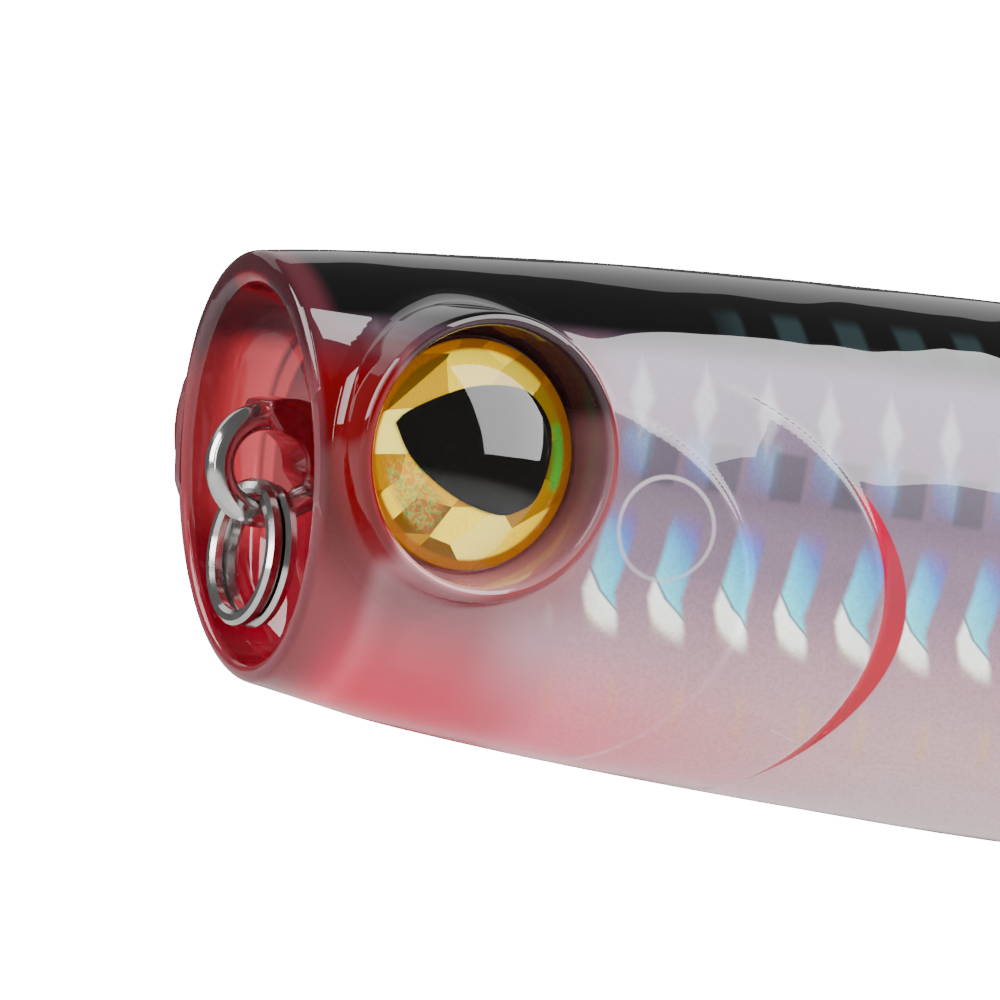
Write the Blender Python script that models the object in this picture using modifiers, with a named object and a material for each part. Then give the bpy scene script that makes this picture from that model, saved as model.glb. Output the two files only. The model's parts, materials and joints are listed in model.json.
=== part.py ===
"""Topwater popper: a two-shell fishing lure with a cupped mouth, inlaid foil, eyes and through wire.

Frame: origin at the centre of the line-tie loop, +X from nose to tail, +Z up, with the fish's left
side at -Y. The lure lies level, and its rings and treble hooks hang straight down.
"""
import math

import bmesh
import bpy
from mathutils import Matrix, Vector

MM = 0.001

# Body: a turned form, narrowed across Y, with a slanted face at the nose.
AXIS_Z = -0.2 * MM
NARROWING = 0.8
WALL = 1.6 * MM
PARTING_GAP = 0.3 * MM
FACE_X = -1.1 * MM
FACE_SLANT = math.radians(7.4)
BODY_STATIONS = [                       # (x, half height)
    (-4.0, 12.2), (-1.1, 12.8), (6.0, 13.9), (12.0, 14.6), (20.0, 15.35), (30.0, 16.05), (40.0, 16.6),
    (52.0, 17.15), (64.0, 17.3), (78.0, 16.8), (92.0, 15.2), (106.0, 12.5), (120.0, 9.4), (132.0, 6.8),
    (138.0, 5.5)]
TAIL_END_X = 140.0 * MM
CAVITY_FRONT, CAVITY_REAR = 18.5 * MM, 133.0 * MM

# Mouth cup and the web that carries the tow loop.
CUP_CENTRE = (-0.9 * MM, 0.0, -0.63 * MM)
CUP_RADII = (6.0 * MM, 8.8 * MM, 11.3 * MM)
WEB_RADIUS = 4.6 * MM
WEB_HALF_THICKNESS = 1.9 * MM
WEB_HOLE_RADIUS = 2.0 * MM
WEB_ROOT_X, WEB_ROOT_BOTTOM, WEB_ROOT_TOP = 12.0 * MM, -1.9 * MM, 4.2 * MM
WEB_EDGE = ((-1.0 * MM, 3.1 * MM), (3.6 * MM, -1.8 * MM))

# Eyes: a raised ring on each flank round a pocket with a foil disc under a clear dome.
EYE_X, EYE_Z = 8.3 * MM, 2.3 * MM
TURRET_RADIUS, TURRET_FACE_Y = 8.6 * MM, 13.3 * MM
POCKET_RADIUS, POCKET_FLOOR_Y = 7.4 * MM, 9.6 * MM
EYE_RADIUS = 6.9 * MM
EYE_DISC_THICKNESS, EYE_DOME_HEIGHT = 0.4 * MM, 2.6 * MM
SEAT_GAP = 0.3 * MM

# Foil lining of each shell.
FOIL_FRONT, FOIL_REAR = 19.6 * MM, 130.0 * MM
FOIL_THICKNESS = 0.35 * MM
FOIL_EDGE_Y = 1.2 * MM
FOIL_HOLE_CLEARANCE = 0.4 * MM

# Posts inside the shells, as (x, z, radius).
WIRE_POSTS = [(21.0 * MM, -0.4 * MM, 3.15 * MM), (57.0 * MM, 0.0, 3.15 * MM),
              (76.0 * MM, 0.0, 3.15 * MM), (122.0 * MM, 0.0, 3.15 * MM)]
WEIGHT_PEG = (39.0 * MM, -10.3 * MM, 1.5 * MM)
TUBE_Z = -5.1 * MM
TUBE_POSTS = [(87.0 * MM, TUBE_Z, 2.5 * MM), (105.0 * MM, TUBE_Z, 2.5 * MM)]
POSTS = WIRE_POSTS + [WEIGHT_PEG] + TUBE_POSTS

# Through wire with a loop at each end.
WIRE_RADIUS = 0.87 * MM
LOOP_RADIUS = 2.93 * MM
TAIL_LOOP_X = 144.5 * MM
GROOVE_CLEARANCE = 0.3 * MM

# Belly swivel, hung on the through wire.
SWIVEL_X = 66.0 * MM
SWIVEL_EYE_WIRE = 0.6 * MM
UPPER_EYE_Z, UPPER_EYE_RADIUS = -0.23 * MM, 2.0 * MM
LOWER_EYE_Z, LOWER_EYE_RADIUS = -20.3 * MM, 2.5 * MM
BARREL_TOP, BARREL_BOTTOM, BARREL_RADIUS = -5.0 * MM, -14.0 * MM, 2.75 * MM
BARREL_SHOULDER, BARREL_NECK_RADIUS, BARREL_LIP = 1.3 * MM, 1.7 * MM, 1.1 * MM
STEM_RADIUS = 0.65 * MM
HEAD_RADIUS, HEAD_LENGTH, HEAD_INSET = 1.6 * MM, 1.2 * MM, 1.6 * MM
HEAD_CLEARANCE = 0.4 * MM
BELLY_HOLE_RADIUS, BELLY_HOLE_TOP = 3.7 * MM, -10.0 * MM

# Split rings: two turns of wire side by side.
RING_RADIUS = 4.0 * MM
RING_WIRE = 0.45 * MM
RING_PITCH = 1.0 * MM
RING_DROP_FROM_LOOP = 5.31 * MM         # loop centre to ring centre
RING_DROP_FROM_SWIVEL = 2.6 * MM        # lower eye's bottom wire to ring centre

# Treble hooks.
HOOK_WIRE = 0.9 * MM
HOOK_EYE_RADIUS = 2.8 * MM
HOOK_EYE_DROP = 1.09 * MM               # ring wire to hook eye centre
SHANK_RADIUS, SHANK_END = 1.35 * MM, -27.0 * MM
BEND_RADIUS = 7.0 * MM
BEND_DEPTH = 31.5 * MM

# Rattle tube with three balls, and the belly weight.
TUBE_FRONT, TUBE_REAR = 81.0 * MM, 111.0 * MM
TUBE_RADIUS, TUBE_BORE = 3.7 * MM, 3.1 * MM
TUBE_SEAT_OVERRUN = 1.0 * MM
CAP_LENGTH, CAP_GAP = 1.5 * MM, 0.2 * MM
BALL_RADIUS, BALL_SPACING = 2.7 * MM, 5.6 * MM
WEIGHT_FRONT, WEIGHT_REAR, WEIGHT_RADIUS = 29.0 * MM, 49.0 * MM, 3.2 * MM
WEIGHT_CHAMFER = 2.0 * MM

FAR = 60.0 * MM                         # more than any half width of the lure


def clear_scene():
    """Remove the objects that the file opened with."""
    for obj in list(bpy.data.objects):
        bpy.data.objects.remove(obj)


def new_collection(name):
    """Make a collection in the scene."""
    group = bpy.data.collections.new(name)
    bpy.context.scene.collection.children.link(group)
    return group


clear_scene()
PARTS = new_collection("topwater_popper")
CUTTERS = new_collection("cutters")


def make_material(name, color, roughness, metallic=0.0, alpha=1.0):
    """Make a Principled material."""
    material = bpy.data.materials.new(name)
    material.use_nodes = True
    shader = material.node_tree.nodes["Principled BSDF"]
    shader.inputs["Base Color"].default_value = (*color, 1.0)
    shader.inputs["Roughness"].default_value = roughness
    shader.inputs["Metallic"].default_value = metallic
    shader.inputs["Alpha"].default_value = alpha
    return material


# ---------------------------------------------------------------- building blocks

def add_object(name, mesh, group=PARTS):
    """Link a mesh to the scene under a name."""
    obj = bpy.data.objects.new(name, mesh)
    group.objects.link(obj)
    if group is CUTTERS:
        obj.hide_render = True
        obj.display_type = "WIRE"
    return obj


def add_guide(name, mesh):
    """Link a mesh that only shapes other objects."""
    return add_object(name, mesh, CUTTERS)


def baked(obj):
    """Return an object's evaluated mesh in world space, and remove the object."""
    graph = bpy.context.evaluated_depsgraph_get()
    mesh = bpy.data.meshes.new_from_object(obj.evaluated_get(graph))
    mesh.transform(obj.matrix_world)
    name = obj.name
    bpy.data.objects.remove(obj)
    mesh.name = name
    return mesh


def boolean(obj, other, operation="DIFFERENCE"):
    """Add an exact Boolean of one object with another."""
    modifier = obj.modifiers.new(operation.lower(), "BOOLEAN")
    modifier.operation = operation
    modifier.solver = "EXACT"
    modifier.object = other
    return obj


def shade(mesh, angle=35.0):
    """Shade a mesh smooth up to an edge angle."""
    mesh.shade_smooth()
    mesh.set_sharp_from_angle(angle=math.radians(angle))
    return mesh


def turned(name, profile, steps, closed=False):
    """Turn a profile of (x, radius) points, listed nose to tail along the outside, about the X axis."""
    mesh = bpy.data.meshes.new(name)
    points = [(radius, 0.0, x) for x, radius in reversed(profile)]
    edges = [(i, i + 1) for i in range(len(points) - 1)]
    if closed:
        edges.append((len(points) - 1, 0))
    mesh.from_pydata(points, edges, [])
    obj = add_guide(name, mesh)
    screw = obj.modifiers.new("turn", "SCREW")
    screw.steps = steps
    screw.render_steps = steps
    screw.use_merge_vertices = True
    screw.merge_threshold = 0.01 * MM
    screw.use_normal_calculate = True
    obj.rotation_euler = (0.0, math.pi / 2, 0.0)
    bpy.context.view_layer.update()
    return add_guide(name, outward(baked(obj)))


def outward(mesh):
    """Weld a mesh and turn its faces outwards."""
    work = bmesh.new()
    work.from_mesh(mesh)
    bmesh.ops.remove_doubles(work, verts=work.verts, dist=0.005 * MM)
    bmesh.ops.recalc_face_normals(work, faces=work.faces)
    work.to_mesh(mesh)
    work.free()
    return mesh


def transformed(obj, matrix):
    """Move an object's mesh."""
    obj.data.transform(matrix)
    return obj


def box(name, low, high):
    """Make a box between two corners."""
    work = bmesh.new()
    bmesh.ops.create_cube(work, size=1.0)
    mesh = bpy.data.meshes.new(name)
    work.to_mesh(mesh)
    work.free()
    size = [b - a for a, b in zip(low, high)]
    middle = [(a + b) / 2 for a, b in zip(low, high)]
    mesh.transform(Matrix.Translation(middle) @ Matrix.Diagonal((*size, 1.0)))
    return add_guide(name, mesh)


def rod(name, start, end, radius, sides=24):
    """Make a cylinder between two points."""
    start, end = Vector(start), Vector(end)
    work = bmesh.new()
    bmesh.ops.create_cone(work, cap_ends=True, segments=sides, radius1=radius, radius2=radius,
                          depth=(end - start).length)
    mesh = bpy.data.meshes.new(name)
    work.to_mesh(mesh)
    work.free()
    turn = (end - start).to_track_quat("Z", "Y").to_matrix().to_4x4()
    mesh.transform(Matrix.Translation((start + end) / 2) @ turn)
    return add_guide(name, mesh)


def cross_rod(name, x, z, radius, sides=24):
    """Make a cylinder that runs right across the lure along Y."""
    return rod(name, (x, -FAR, z), (x, FAR, z), radius, sides)


def ball(name, centre, radii, segments=32, rings=16):
    """Make an ellipsoid."""
    work = bmesh.new()
    bmesh.ops.create_uvsphere(work, u_segments=segments, v_segments=rings, radius=1.0)
    mesh = bpy.data.meshes.new(name)
    work.to_mesh(mesh)
    work.free()
    mesh.transform(Matrix.Translation(centre) @ Matrix.Diagonal((*radii, 1.0)))
    return add_guide(name, mesh)


def tube(name, points, radius, cyclic=False, radii=None):
    """Make a round wire along a polyline, as a welded mesh."""
    data = bpy.data.curves.new(name, "CURVE")
    data.dimensions = "3D"
    data.bevel_depth = radius
    data.bevel_resolution = 2
    data.use_fill_caps = not cyclic
    spline = data.splines.new("POLY")
    spline.points.add(len(points) - 1)
    for i, point in enumerate(points):
        spline.points[i].co = (*point, 1.0)
        spline.points[i].radius = radii[i] if radii else 1.0
    spline.use_cyclic_u = cyclic
    curve = bpy.data.objects.new(name, data)
    CUTTERS.objects.link(curve)
    bpy.context.view_layer.update()
    return add_guide(name, outward(baked(curve)))


def circle_points(centre, radius, normal_axis, count):
    """Points round a circle whose axis is X or Y."""
    points = []
    for i in range(count):
        angle = math.tau * i / count
        across, up = radius * math.cos(angle), radius * math.sin(angle)
        offset = (across, 0.0, up) if normal_axis == "Y" else (0.0, across, up)
        points.append(Vector(centre) + Vector(offset))
    return points


def finish(name, obj, material, origin=None):
    """Bake an object as one of the lure's pieces, with its origin at a parent empty if one is given."""
    mesh = shade(baked(obj))
    mesh.materials.clear()
    mesh.materials.append(material)
    piece = add_object(name, mesh)
    if origin is not None:
        empty = bpy.data.objects.new(name + "_pivot", None)
        empty.location = origin
        PARTS.objects.link(empty)
        mesh.transform(Matrix.Translation(-Vector(origin)))
        piece.parent = empty
    return piece


# ---------------------------------------------------------------- body form

def body_radius(x):
    """Half height of the body at a distance along it: a smooth curve through the stations."""
    stations = [(a * MM, b * MM) for a, b in BODY_STATIONS]
    last = len(stations) - 1
    i = max(k for k in range(last) if k == 0 or stations[k][0] <= x)

    def slope(k):
        low, high = stations[max(k - 1, 0)], stations[min(k + 1, last)]
        return (high[1] - low[1]) / (high[0] - low[0])

    (x0, r0), (x1, r1) = stations[i], stations[i + 1]
    span = x1 - x0
    t = (x - x0) / span
    return ((2 * t**3 - 3 * t**2 + 1) * r0 + (t**3 - 2 * t**2 + t) * span * slope(i)
            + (3 * t**2 - 2 * t**3) * r1 + (t**3 - t**2) * span * slope(i + 1))


def spaced(start, end, count):
    """Evenly spaced values."""
    return [start + (end - start) * i / (count - 1) for i in range(count)]


def narrowed(obj):
    """Narrow a turned form across Y and drop it to the body's axis."""
    drop = Matrix.Translation((0.0, 0.0, AXIS_Z))
    return transformed(obj, drop @ Matrix.Diagonal((1.0, NARROWING, 1.0, 1.0)))


def outer_form():
    """The solid outside of the body, with a rounded tail."""
    stations = spaced(-4.0 * MM, 138.0 * MM, 21)
    profile = [(stations[0], 0.0)] + [(x, body_radius(x)) for x in stations]
    profile += [(139.3 * MM, 4.5 * MM), (TAIL_END_X, 3.0 * MM), (TAIL_END_X, 0.0)]
    return narrowed(turned("outer_form", profile, 44))


def cavity_form():
    """The hollow inside, left solid where posts stand."""
    stations = spaced(CAVITY_FRONT, CAVITY_REAR, 11)
    wall = [(x, body_radius(x) - WALL) for x in stations]
    profile = [(stations[0], 0.0)] + wall + [(stations[-1], 0.0)]
    form = narrowed(turned("cavity_form", profile, 28))
    for i, (x, z, radius) in enumerate(POSTS):
        boolean(form, cross_rod(f"post_{i}", x, z, radius, 16))
    return form


def web_form():
    """The round-nosed web in the mouth that grips the back of the tow loop."""
    web = rod("web", (0.0, -WEB_HALF_THICKNESS, 0.0), (0.0, WEB_HALF_THICKNESS, 0.0), WEB_RADIUS, 32)
    root = box("web_root", (0.0, -WEB_HALF_THICKNESS, WEB_ROOT_BOTTOM),
               (WEB_ROOT_X, WEB_HALF_THICKNESS, WEB_ROOT_TOP))
    boolean(web, root, "UNION")
    boolean(web, cross_rod("web_hole", 0.0, 0.0, WEB_HOLE_RADIUS))
    (ax, az), (bx, bz) = WEB_EDGE
    edge = box("web_edge", (-FAR, -FAR, -FAR), (FAR, FAR, 0.0))
    lean = math.atan2(az - bz, bx - ax)
    transformed(edge, Matrix.Translation((ax, 0.0, az)) @ Matrix.Rotation(lean, 4, "Y"))
    return boolean(web, edge)


def cup_form():
    """The mouth cup, with the web left standing in it."""
    cup = ball("cup", (0.0, 0.0, 0.0), CUP_RADII, 32, 16)
    transformed(cup, Matrix.Translation(CUP_CENTRE) @ Matrix.Rotation(-FACE_SLANT, 4, "Y"))
    return boolean(cup, web_form())


def wire_end(points, centre_x, side):
    """Place (x, z) points of a wire end in the XZ plane. Side 1 is the nose, -1 the tail."""
    return [Vector((centre_x + side * x, 0.0, z)) for x, z in points]


def loop_points(centre_x, side):
    """A wire end from its shank round the loop."""
    lead = [(10.0, -1.1), (7.5, -1.15), (5.6, -1.15), (4.2, -1.25), (3.1, -1.55), (2.35, -1.98)]
    points = [(x * MM, z * MM) for x, z in lead]
    for degrees in range(-55, -326, -15):
        angle = math.radians(degrees)
        points.append((LOOP_RADIUS * math.cos(angle), LOOP_RADIUS * math.sin(angle)))
    return wire_end(points, centre_x, side)


def return_points(centre_x, side):
    """The short return of the wire, beside its shank."""
    run = [(2.85, 1.3), (3.6, 1.08), (4.6, 1.02), (8.0, 1.0)]
    return wire_end([(x * MM, z * MM) for x, z in run], centre_x, side)


def wire_middle():
    """The through wire without its two returns."""
    middle = [(13.0, -0.8), (16.5, -0.45), (21.0, -0.15), (27.0, 0.0), (118.0, 0.0), (124.0, -0.15),
              (128.0, -0.45), (131.5, -0.8)]
    return (list(reversed(loop_points(0.0, 1))) + [Vector((x * MM, 0.0, z * MM)) for x, z in middle]
            + loop_points(TAIL_LOOP_X, -1))


def wire_points():
    """The whole through wire, from the return at the nose to the return at the tail."""
    return list(reversed(return_points(0.0, 1))) + wire_middle() + return_points(TAIL_LOOP_X, -1)


def shell_form():
    """Both shells as one body, before the parting cut."""
    form = outer_form()
    turrets = cross_rod("turrets", EYE_X, EYE_Z, TURRET_RADIUS, 40)
    transformed(turrets, Matrix.Diagonal((1.0, TURRET_FACE_Y / FAR, 1.0, 1.0)))
    boolean(form, turrets, "UNION")
    face = box("face_cut", (-FAR, -FAR, -FAR), (0.0, FAR, FAR))
    lean = Matrix.Rotation(-FACE_SLANT, 4, "Y")
    transformed(face, Matrix.Translation((FACE_X, 0.0, CUP_CENTRE[2])) @ lean)
    boolean(form, face)
    boolean(form, cup_form())
    boolean(form, cavity_form())
    for side in (-1, 1):
        start = (EYE_X, side * POCKET_FLOOR_Y, EYE_Z)
        boolean(form, rod(f"pocket_{side}", start, (EYE_X, side * FAR, EYE_Z), POCKET_RADIUS, 32))
    boolean(form, tube("groove", wire_middle(), WIRE_RADIUS + GROOVE_CLEARANCE))
    for centre_x, side in ((0.0, 1), (TAIL_LOOP_X, -1)):
        run = loop_points(centre_x, side)[-3:] + return_points(centre_x, side)
        boolean(form, tube(f"return_groove_{side}", run, WIRE_RADIUS + GROOVE_CLEARANCE))
    seat_start = (TUBE_FRONT - TUBE_SEAT_OVERRUN, 0.0, TUBE_Z)
    seat_end = (TUBE_REAR + TUBE_SEAT_OVERRUN, 0.0, TUBE_Z)
    boolean(form, rod("tube_seat", seat_start, seat_end, TUBE_RADIUS + SEAT_GAP, 20))
    hole_top = (SWIVEL_X, 0.0, BELLY_HOLE_TOP)
    boolean(form, rod("belly_hole", hole_top, (SWIVEL_X, 0.0, -FAR), BELLY_HOLE_RADIUS, 20))
    return form


def build_shells(material):
    """The left and right shells, parted at the middle plane."""
    whole = baked(shell_form())
    half_gap = PARTING_GAP / 2
    for name, low, high in (("shell_left", -half_gap, FAR), ("shell_right", -FAR, half_gap)):
        half = add_guide(name + "_form", whole.copy())
        boolean(half, box(name + "_cut", (-FAR, low, -FAR), (3 * FAR, high, FAR)))
        finish(name, half, material)


def build_foils(material):
    """The holographic foil that lines each shell, cut out round the posts and the swivel."""
    stations = spaced(FOIL_FRONT, FOIL_REAR, 10)
    outside = [(x, body_radius(x) - WALL - SEAT_GAP) for x in stations]
    inside = [(x, radius - FOIL_THICKNESS) for x, radius in reversed(outside)]
    form = narrowed(turned("foil_form", outside + inside, 24, closed=True))
    for i, (x, z, radius) in enumerate(POSTS):
        boolean(form, cross_rod(f"foil_hole_{i}", x, z, radius + FOIL_HOLE_CLEARANCE, 12))
    gate_top = (SWIVEL_X, 0.0, BELLY_HOLE_TOP + 2.0 * MM)
    boolean(form, rod("foil_gate", gate_top, (SWIVEL_X, 0.0, -FAR), BELLY_HOLE_RADIUS, 16))
    whole = baked(form)
    for name, low, high in (("foil_left", -FOIL_EDGE_Y, FAR), ("foil_right", -FAR, FOIL_EDGE_Y)):
        half = add_guide(name + "_form", whole.copy())
        boolean(half, box(name + "_cut", (-FAR, low, -FAR), (3 * FAR, high, FAR)))
        finish(name, half, material)


# ---------------------------------------------------------------- eyes

def build_eyes(disc_material, dome_material):
    """A foil disc and a clear dome in each pocket."""
    dome_base = POCKET_FLOOR_Y + 2 * SEAT_GAP + EYE_DISC_THICKNESS
    curve_radius = (EYE_RADIUS**2 + EYE_DOME_HEIGHT**2) / (2 * EYE_DOME_HEIGHT)
    sweep = math.asin(EYE_RADIUS / curve_radius)
    cap = [(curve_radius * math.cos(a) - (curve_radius - EYE_DOME_HEIGHT), curve_radius * math.sin(a))
           for a in spaced(sweep, 0.0, 5)]
    cap[-1] = (EYE_DOME_HEIGHT, 0.0)
    for name, side in (("left", -1), ("right", 1)):
        floor = side * (POCKET_FLOOR_Y + SEAT_GAP)
        front = side * (POCKET_FLOOR_Y + SEAT_GAP + EYE_DISC_THICKNESS)
        disc = rod("disc", (EYE_X, floor, EYE_Z), (EYE_X, front, EYE_Z), EYE_RADIUS, 28)
        finish("eye_disc_" + name, disc, disc_material)
        dome = turned("dome", [(0.0, 0.0)] + cap, 28)
        outward = Matrix.Rotation(side * math.pi / 2, 4, "Z")
        place = Matrix.Translation((EYE_X, side * dome_base, EYE_Z)) @ outward
        finish("eye_dome_" + name, transformed(dome, place), dome_material)


# ---------------------------------------------------------------- swivel and rings

def upright(obj, x):
    """Stand a form turned about X on end, its nose downwards, at a distance along the lure."""
    return transformed(obj, Matrix.Translation((x, 0.0, 0.0)) @ Matrix.Rotation(-math.pi / 2, 4, "Y"))


def swivel_eye(name, centre_z, radius, head_z):
    """A wire eye with a stem and a head that the barrel holds."""
    ring = circle_points((SWIVEL_X, 0.0, centre_z), radius, "X", 18)
    eye = tube(name, ring, SWIVEL_EYE_WIRE, cyclic=True)
    toward = 1.0 if head_z > centre_z else -1.0
    start = (SWIVEL_X, 0.0, centre_z + toward * radius)
    boolean(eye, rod(name + "_stem", start, (SWIVEL_X, 0.0, head_z), STEM_RADIUS, 12), "UNION")
    head_start = (SWIVEL_X, 0.0, head_z - toward * 0.1 * MM)
    head_end = (SWIVEL_X, 0.0, head_z + toward * HEAD_LENGTH)
    return boolean(eye, rod(name + "_head", head_start, head_end, HEAD_RADIUS, 16), "UNION")


def build_swivel(steel, brass):
    """The belly swivel: upper eye on the wire, barrel, and lower eye that spins."""
    upper = swivel_eye("upper", UPPER_EYE_Z, UPPER_EYE_RADIUS, BARREL_TOP - HEAD_INSET)
    finish("swivel_upper_eye", upper, steel)
    hole, bore = STEM_RADIUS + SEAT_GAP, HEAD_RADIUS + HEAD_CLEARANCE
    outside = [(BARREL_BOTTOM, hole),
               (BARREL_BOTTOM, BARREL_NECK_RADIUS),
               (BARREL_BOTTOM + BARREL_SHOULDER, BARREL_RADIUS),
               (BARREL_TOP - BARREL_SHOULDER, BARREL_RADIUS),
               (BARREL_TOP, BARREL_NECK_RADIUS),
               (BARREL_TOP, hole)]
    inside = [(BARREL_TOP - BARREL_LIP, hole),
              (BARREL_TOP - BARREL_LIP, bore),
              (BARREL_BOTTOM + BARREL_LIP, bore),
              (BARREL_BOTTOM + BARREL_LIP, hole)]
    barrel = turned("barrel", outside + inside, 20, closed=True)
    finish("swivel_barrel", upright(barrel, SWIVEL_X), brass)
    lower = swivel_eye("lower", LOWER_EYE_Z, LOWER_EYE_RADIUS, BARREL_BOTTOM + HEAD_INSET)
    finish("swivel_lower_eye", lower, steel, (SWIVEL_X, 0.0, LOWER_EYE_Z))


def split_ring(name, centre, normal_axis, pivot, material):
    """Two turns of wire side by side, crossing over on the way."""
    points = []
    start, cross_start, cross_end, end = 30, 330, 390, 690
    for degrees in range(start, end + 1, 20):
        shift = min(max((degrees - cross_start) / (cross_end - cross_start), 0.0), 1.0) - 0.5
        angle = math.radians(degrees)
        across, up = RING_RADIUS * math.cos(angle), RING_RADIUS * math.sin(angle)
        side = shift * RING_PITCH
        offset = (across, side, up) if normal_axis == "Y" else (side, across, up)
        points.append(Vector(centre) + Vector(offset))
    finish(name, tube(name + "_wire", points, RING_WIRE), material, pivot)


def build_rings(material):
    """The split rings at the line tie, the belly swivel and the tail."""
    split_ring("line_split_ring", (0.0, 0.0, -RING_DROP_FROM_LOOP), "X", (0.0, 0.0, 0.0), material)
    eye_bottom = LOWER_EYE_Z - LOWER_EYE_RADIUS
    split_ring("belly_split_ring", (SWIVEL_X, 0.0, eye_bottom - RING_DROP_FROM_SWIVEL), "Y",
               (SWIVEL_X, 0.0, eye_bottom), material)
    split_ring("tail_split_ring", (TAIL_LOOP_X, 0.0, -RING_DROP_FROM_LOOP), "X",
               (TAIL_LOOP_X, 0.0, 0.0), material)


# ---------------------------------------------------------------- hooks

def hook_points():
    """One hook of a treble in its own plane, as (outward, up, thickness) from the eye's centre."""
    points = [(0.25, -17.0, 1.0), (0.3, -22.0, 1.0), (0.3, -28.0, 1.0)]
    centre = BEND_RADIUS / MM + 0.3
    for degrees in range(180, 361, 20):
        angle = math.radians(degrees)
        radius, depth = BEND_RADIUS / MM, BEND_DEPTH / MM
        points.append((centre + radius * math.cos(angle), radius * math.sin(angle) - depth, 1.0))
    points += [(14.1, -28.0, 0.95), (13.6, -24.5, 0.6), (13.1, -22.0, 0.12)]
    return points


def treble_mesh():
    """A treble hook hung by its eye, which lies in the XZ plane, with one hook along +X."""
    eye = circle_points((0.0, 0.0, 0.0), HOOK_EYE_RADIUS, "Y", 18)
    treble = tube("treble", eye, HOOK_WIRE, cyclic=True)
    shank = rod("shank", (0.0, 0.0, -HOOK_EYE_RADIUS), (0.0, 0.0, SHANK_END), SHANK_RADIUS, 12)
    boolean(treble, shank, "UNION")
    thickness = [w for _, _, w in hook_points()]
    for i in range(3):
        turn = Matrix.Rotation(math.tau * i / 3, 4, "Z")
        points = [turn @ Vector((x * MM, 0.0, z * MM)) for x, z, _ in hook_points()]
        boolean(treble, tube(f"hook_{i}", points, HOOK_WIRE, radii=thickness), "UNION")
    return baked(treble)


def build_trebles(material):
    """The belly and tail treble hooks."""
    mesh = treble_mesh()
    belly_pivot_z = LOWER_EYE_Z - LOWER_EYE_RADIUS - RING_DROP_FROM_SWIVEL - RING_RADIUS
    belly_pivot = (SWIVEL_X, 0.0, belly_pivot_z)
    belly_eye_z = belly_pivot_z - HOOK_EYE_DROP
    tail_pivot = (TAIL_LOOP_X, 0.0, -RING_DROP_FROM_LOOP)
    tail_eye_z = -RING_DROP_FROM_LOOP - RING_RADIUS - HOOK_EYE_DROP
    for name, turn, pivot, eye_z in (("belly_treble", math.pi / 2, belly_pivot, belly_eye_z),
                                     ("tail_treble", 0.0, tail_pivot, tail_eye_z)):
        hook = add_guide(name + "_form", mesh.copy())
        transformed(hook, Matrix.Translation((pivot[0], 0.0, eye_z)) @ Matrix.Rotation(turn, 4, "Z"))
        finish(name, hook, material, pivot)


# ---------------------------------------------------------------- wire, rattle and weight

def build_inside(wire_material, tube_material, steel, lead):
    """The through wire, the rattle tube with its caps and balls, and the belly weight."""
    finish("through_wire", tube("wire", wire_points(), WIRE_RADIUS), wire_material)
    sleeve = [(TUBE_FRONT, TUBE_BORE), (TUBE_FRONT, TUBE_RADIUS),
              (TUBE_REAR, TUBE_RADIUS), (TUBE_REAR, TUBE_BORE)]
    drop = Matrix.Translation((0.0, 0.0, TUBE_Z))
    finish("rattle_tube", transformed(turned("sleeve", sleeve, 24, closed=True), drop), tube_material)
    for name, end, inward in (("tube_cap_front", TUBE_FRONT, 1), ("tube_cap_rear", TUBE_REAR, -1)):
        cap = rod(name + "_form", (end, 0.0, TUBE_Z), (end + inward * CAP_LENGTH, 0.0, TUBE_Z),
                  TUBE_BORE - CAP_GAP, 24)
        finish(name, cap, tube_material)
    rear_ball = TUBE_REAR - CAP_LENGTH - SEAT_GAP - BALL_RADIUS
    for i in range(3):
        centre = (rear_ball - (2 - i) * BALL_SPACING, 0.0, TUBE_Z)
        finish(f"rattle_ball_{i + 1}", ball("shot", centre, (BALL_RADIUS,) * 3, 16, 8), steel, centre)
    end_radius = WEIGHT_RADIUS - WEIGHT_CHAMFER
    profile = [(WEIGHT_FRONT, 0.0), (WEIGHT_FRONT, end_radius),
               (WEIGHT_FRONT + WEIGHT_CHAMFER, WEIGHT_RADIUS),
               (WEIGHT_REAR - WEIGHT_CHAMFER, WEIGHT_RADIUS),
               (WEIGHT_REAR, end_radius), (WEIGHT_REAR, 0.0)]
    x, z, radius = WEIGHT_PEG
    weight = transformed(turned("weight", profile, 20), Matrix.Translation((0.0, 0.0, z)))
    finish("belly_weight", boolean(weight, cross_rod("peg_hole", x, z, radius + SEAT_GAP, 16)), lead)


def clear_guides():
    """Remove the shaping objects, which are baked into the pieces by now."""
    for obj in list(CUTTERS.objects):
        bpy.data.objects.remove(obj)


def main():
    """Build the lure."""
    clear_red = make_material("clear_red_plastic", (0.45, 0.03, 0.05), 0.08, alpha=0.6)
    foil = make_material("holographic_foil", (0.55, 0.48, 0.68), 0.2, 0.9)
    gold = make_material("gold_foil", (0.85, 0.6, 0.1), 0.2, 0.9)
    clear = make_material("clear_dome", (0.9, 0.9, 0.9), 0.03, alpha=0.3)
    steel = make_material("stainless_steel", (0.65, 0.65, 0.66), 0.18, 1.0)
    brass = make_material("nickel_brass", (0.6, 0.55, 0.45), 0.25, 1.0)
    lead = make_material("lead", (0.2, 0.2, 0.22), 0.5, 1.0)
    smoke = make_material("tube_plastic", (0.6, 0.62, 0.65), 0.15, alpha=0.5)
    build_shells(clear_red)
    build_foils(foil)
    build_eyes(gold, clear)
    build_inside(steel, smoke, steel, lead)
    build_swivel(steel, brass)
    build_rings(steel)
    build_trebles(steel)
    clear_guides()


main()
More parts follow.
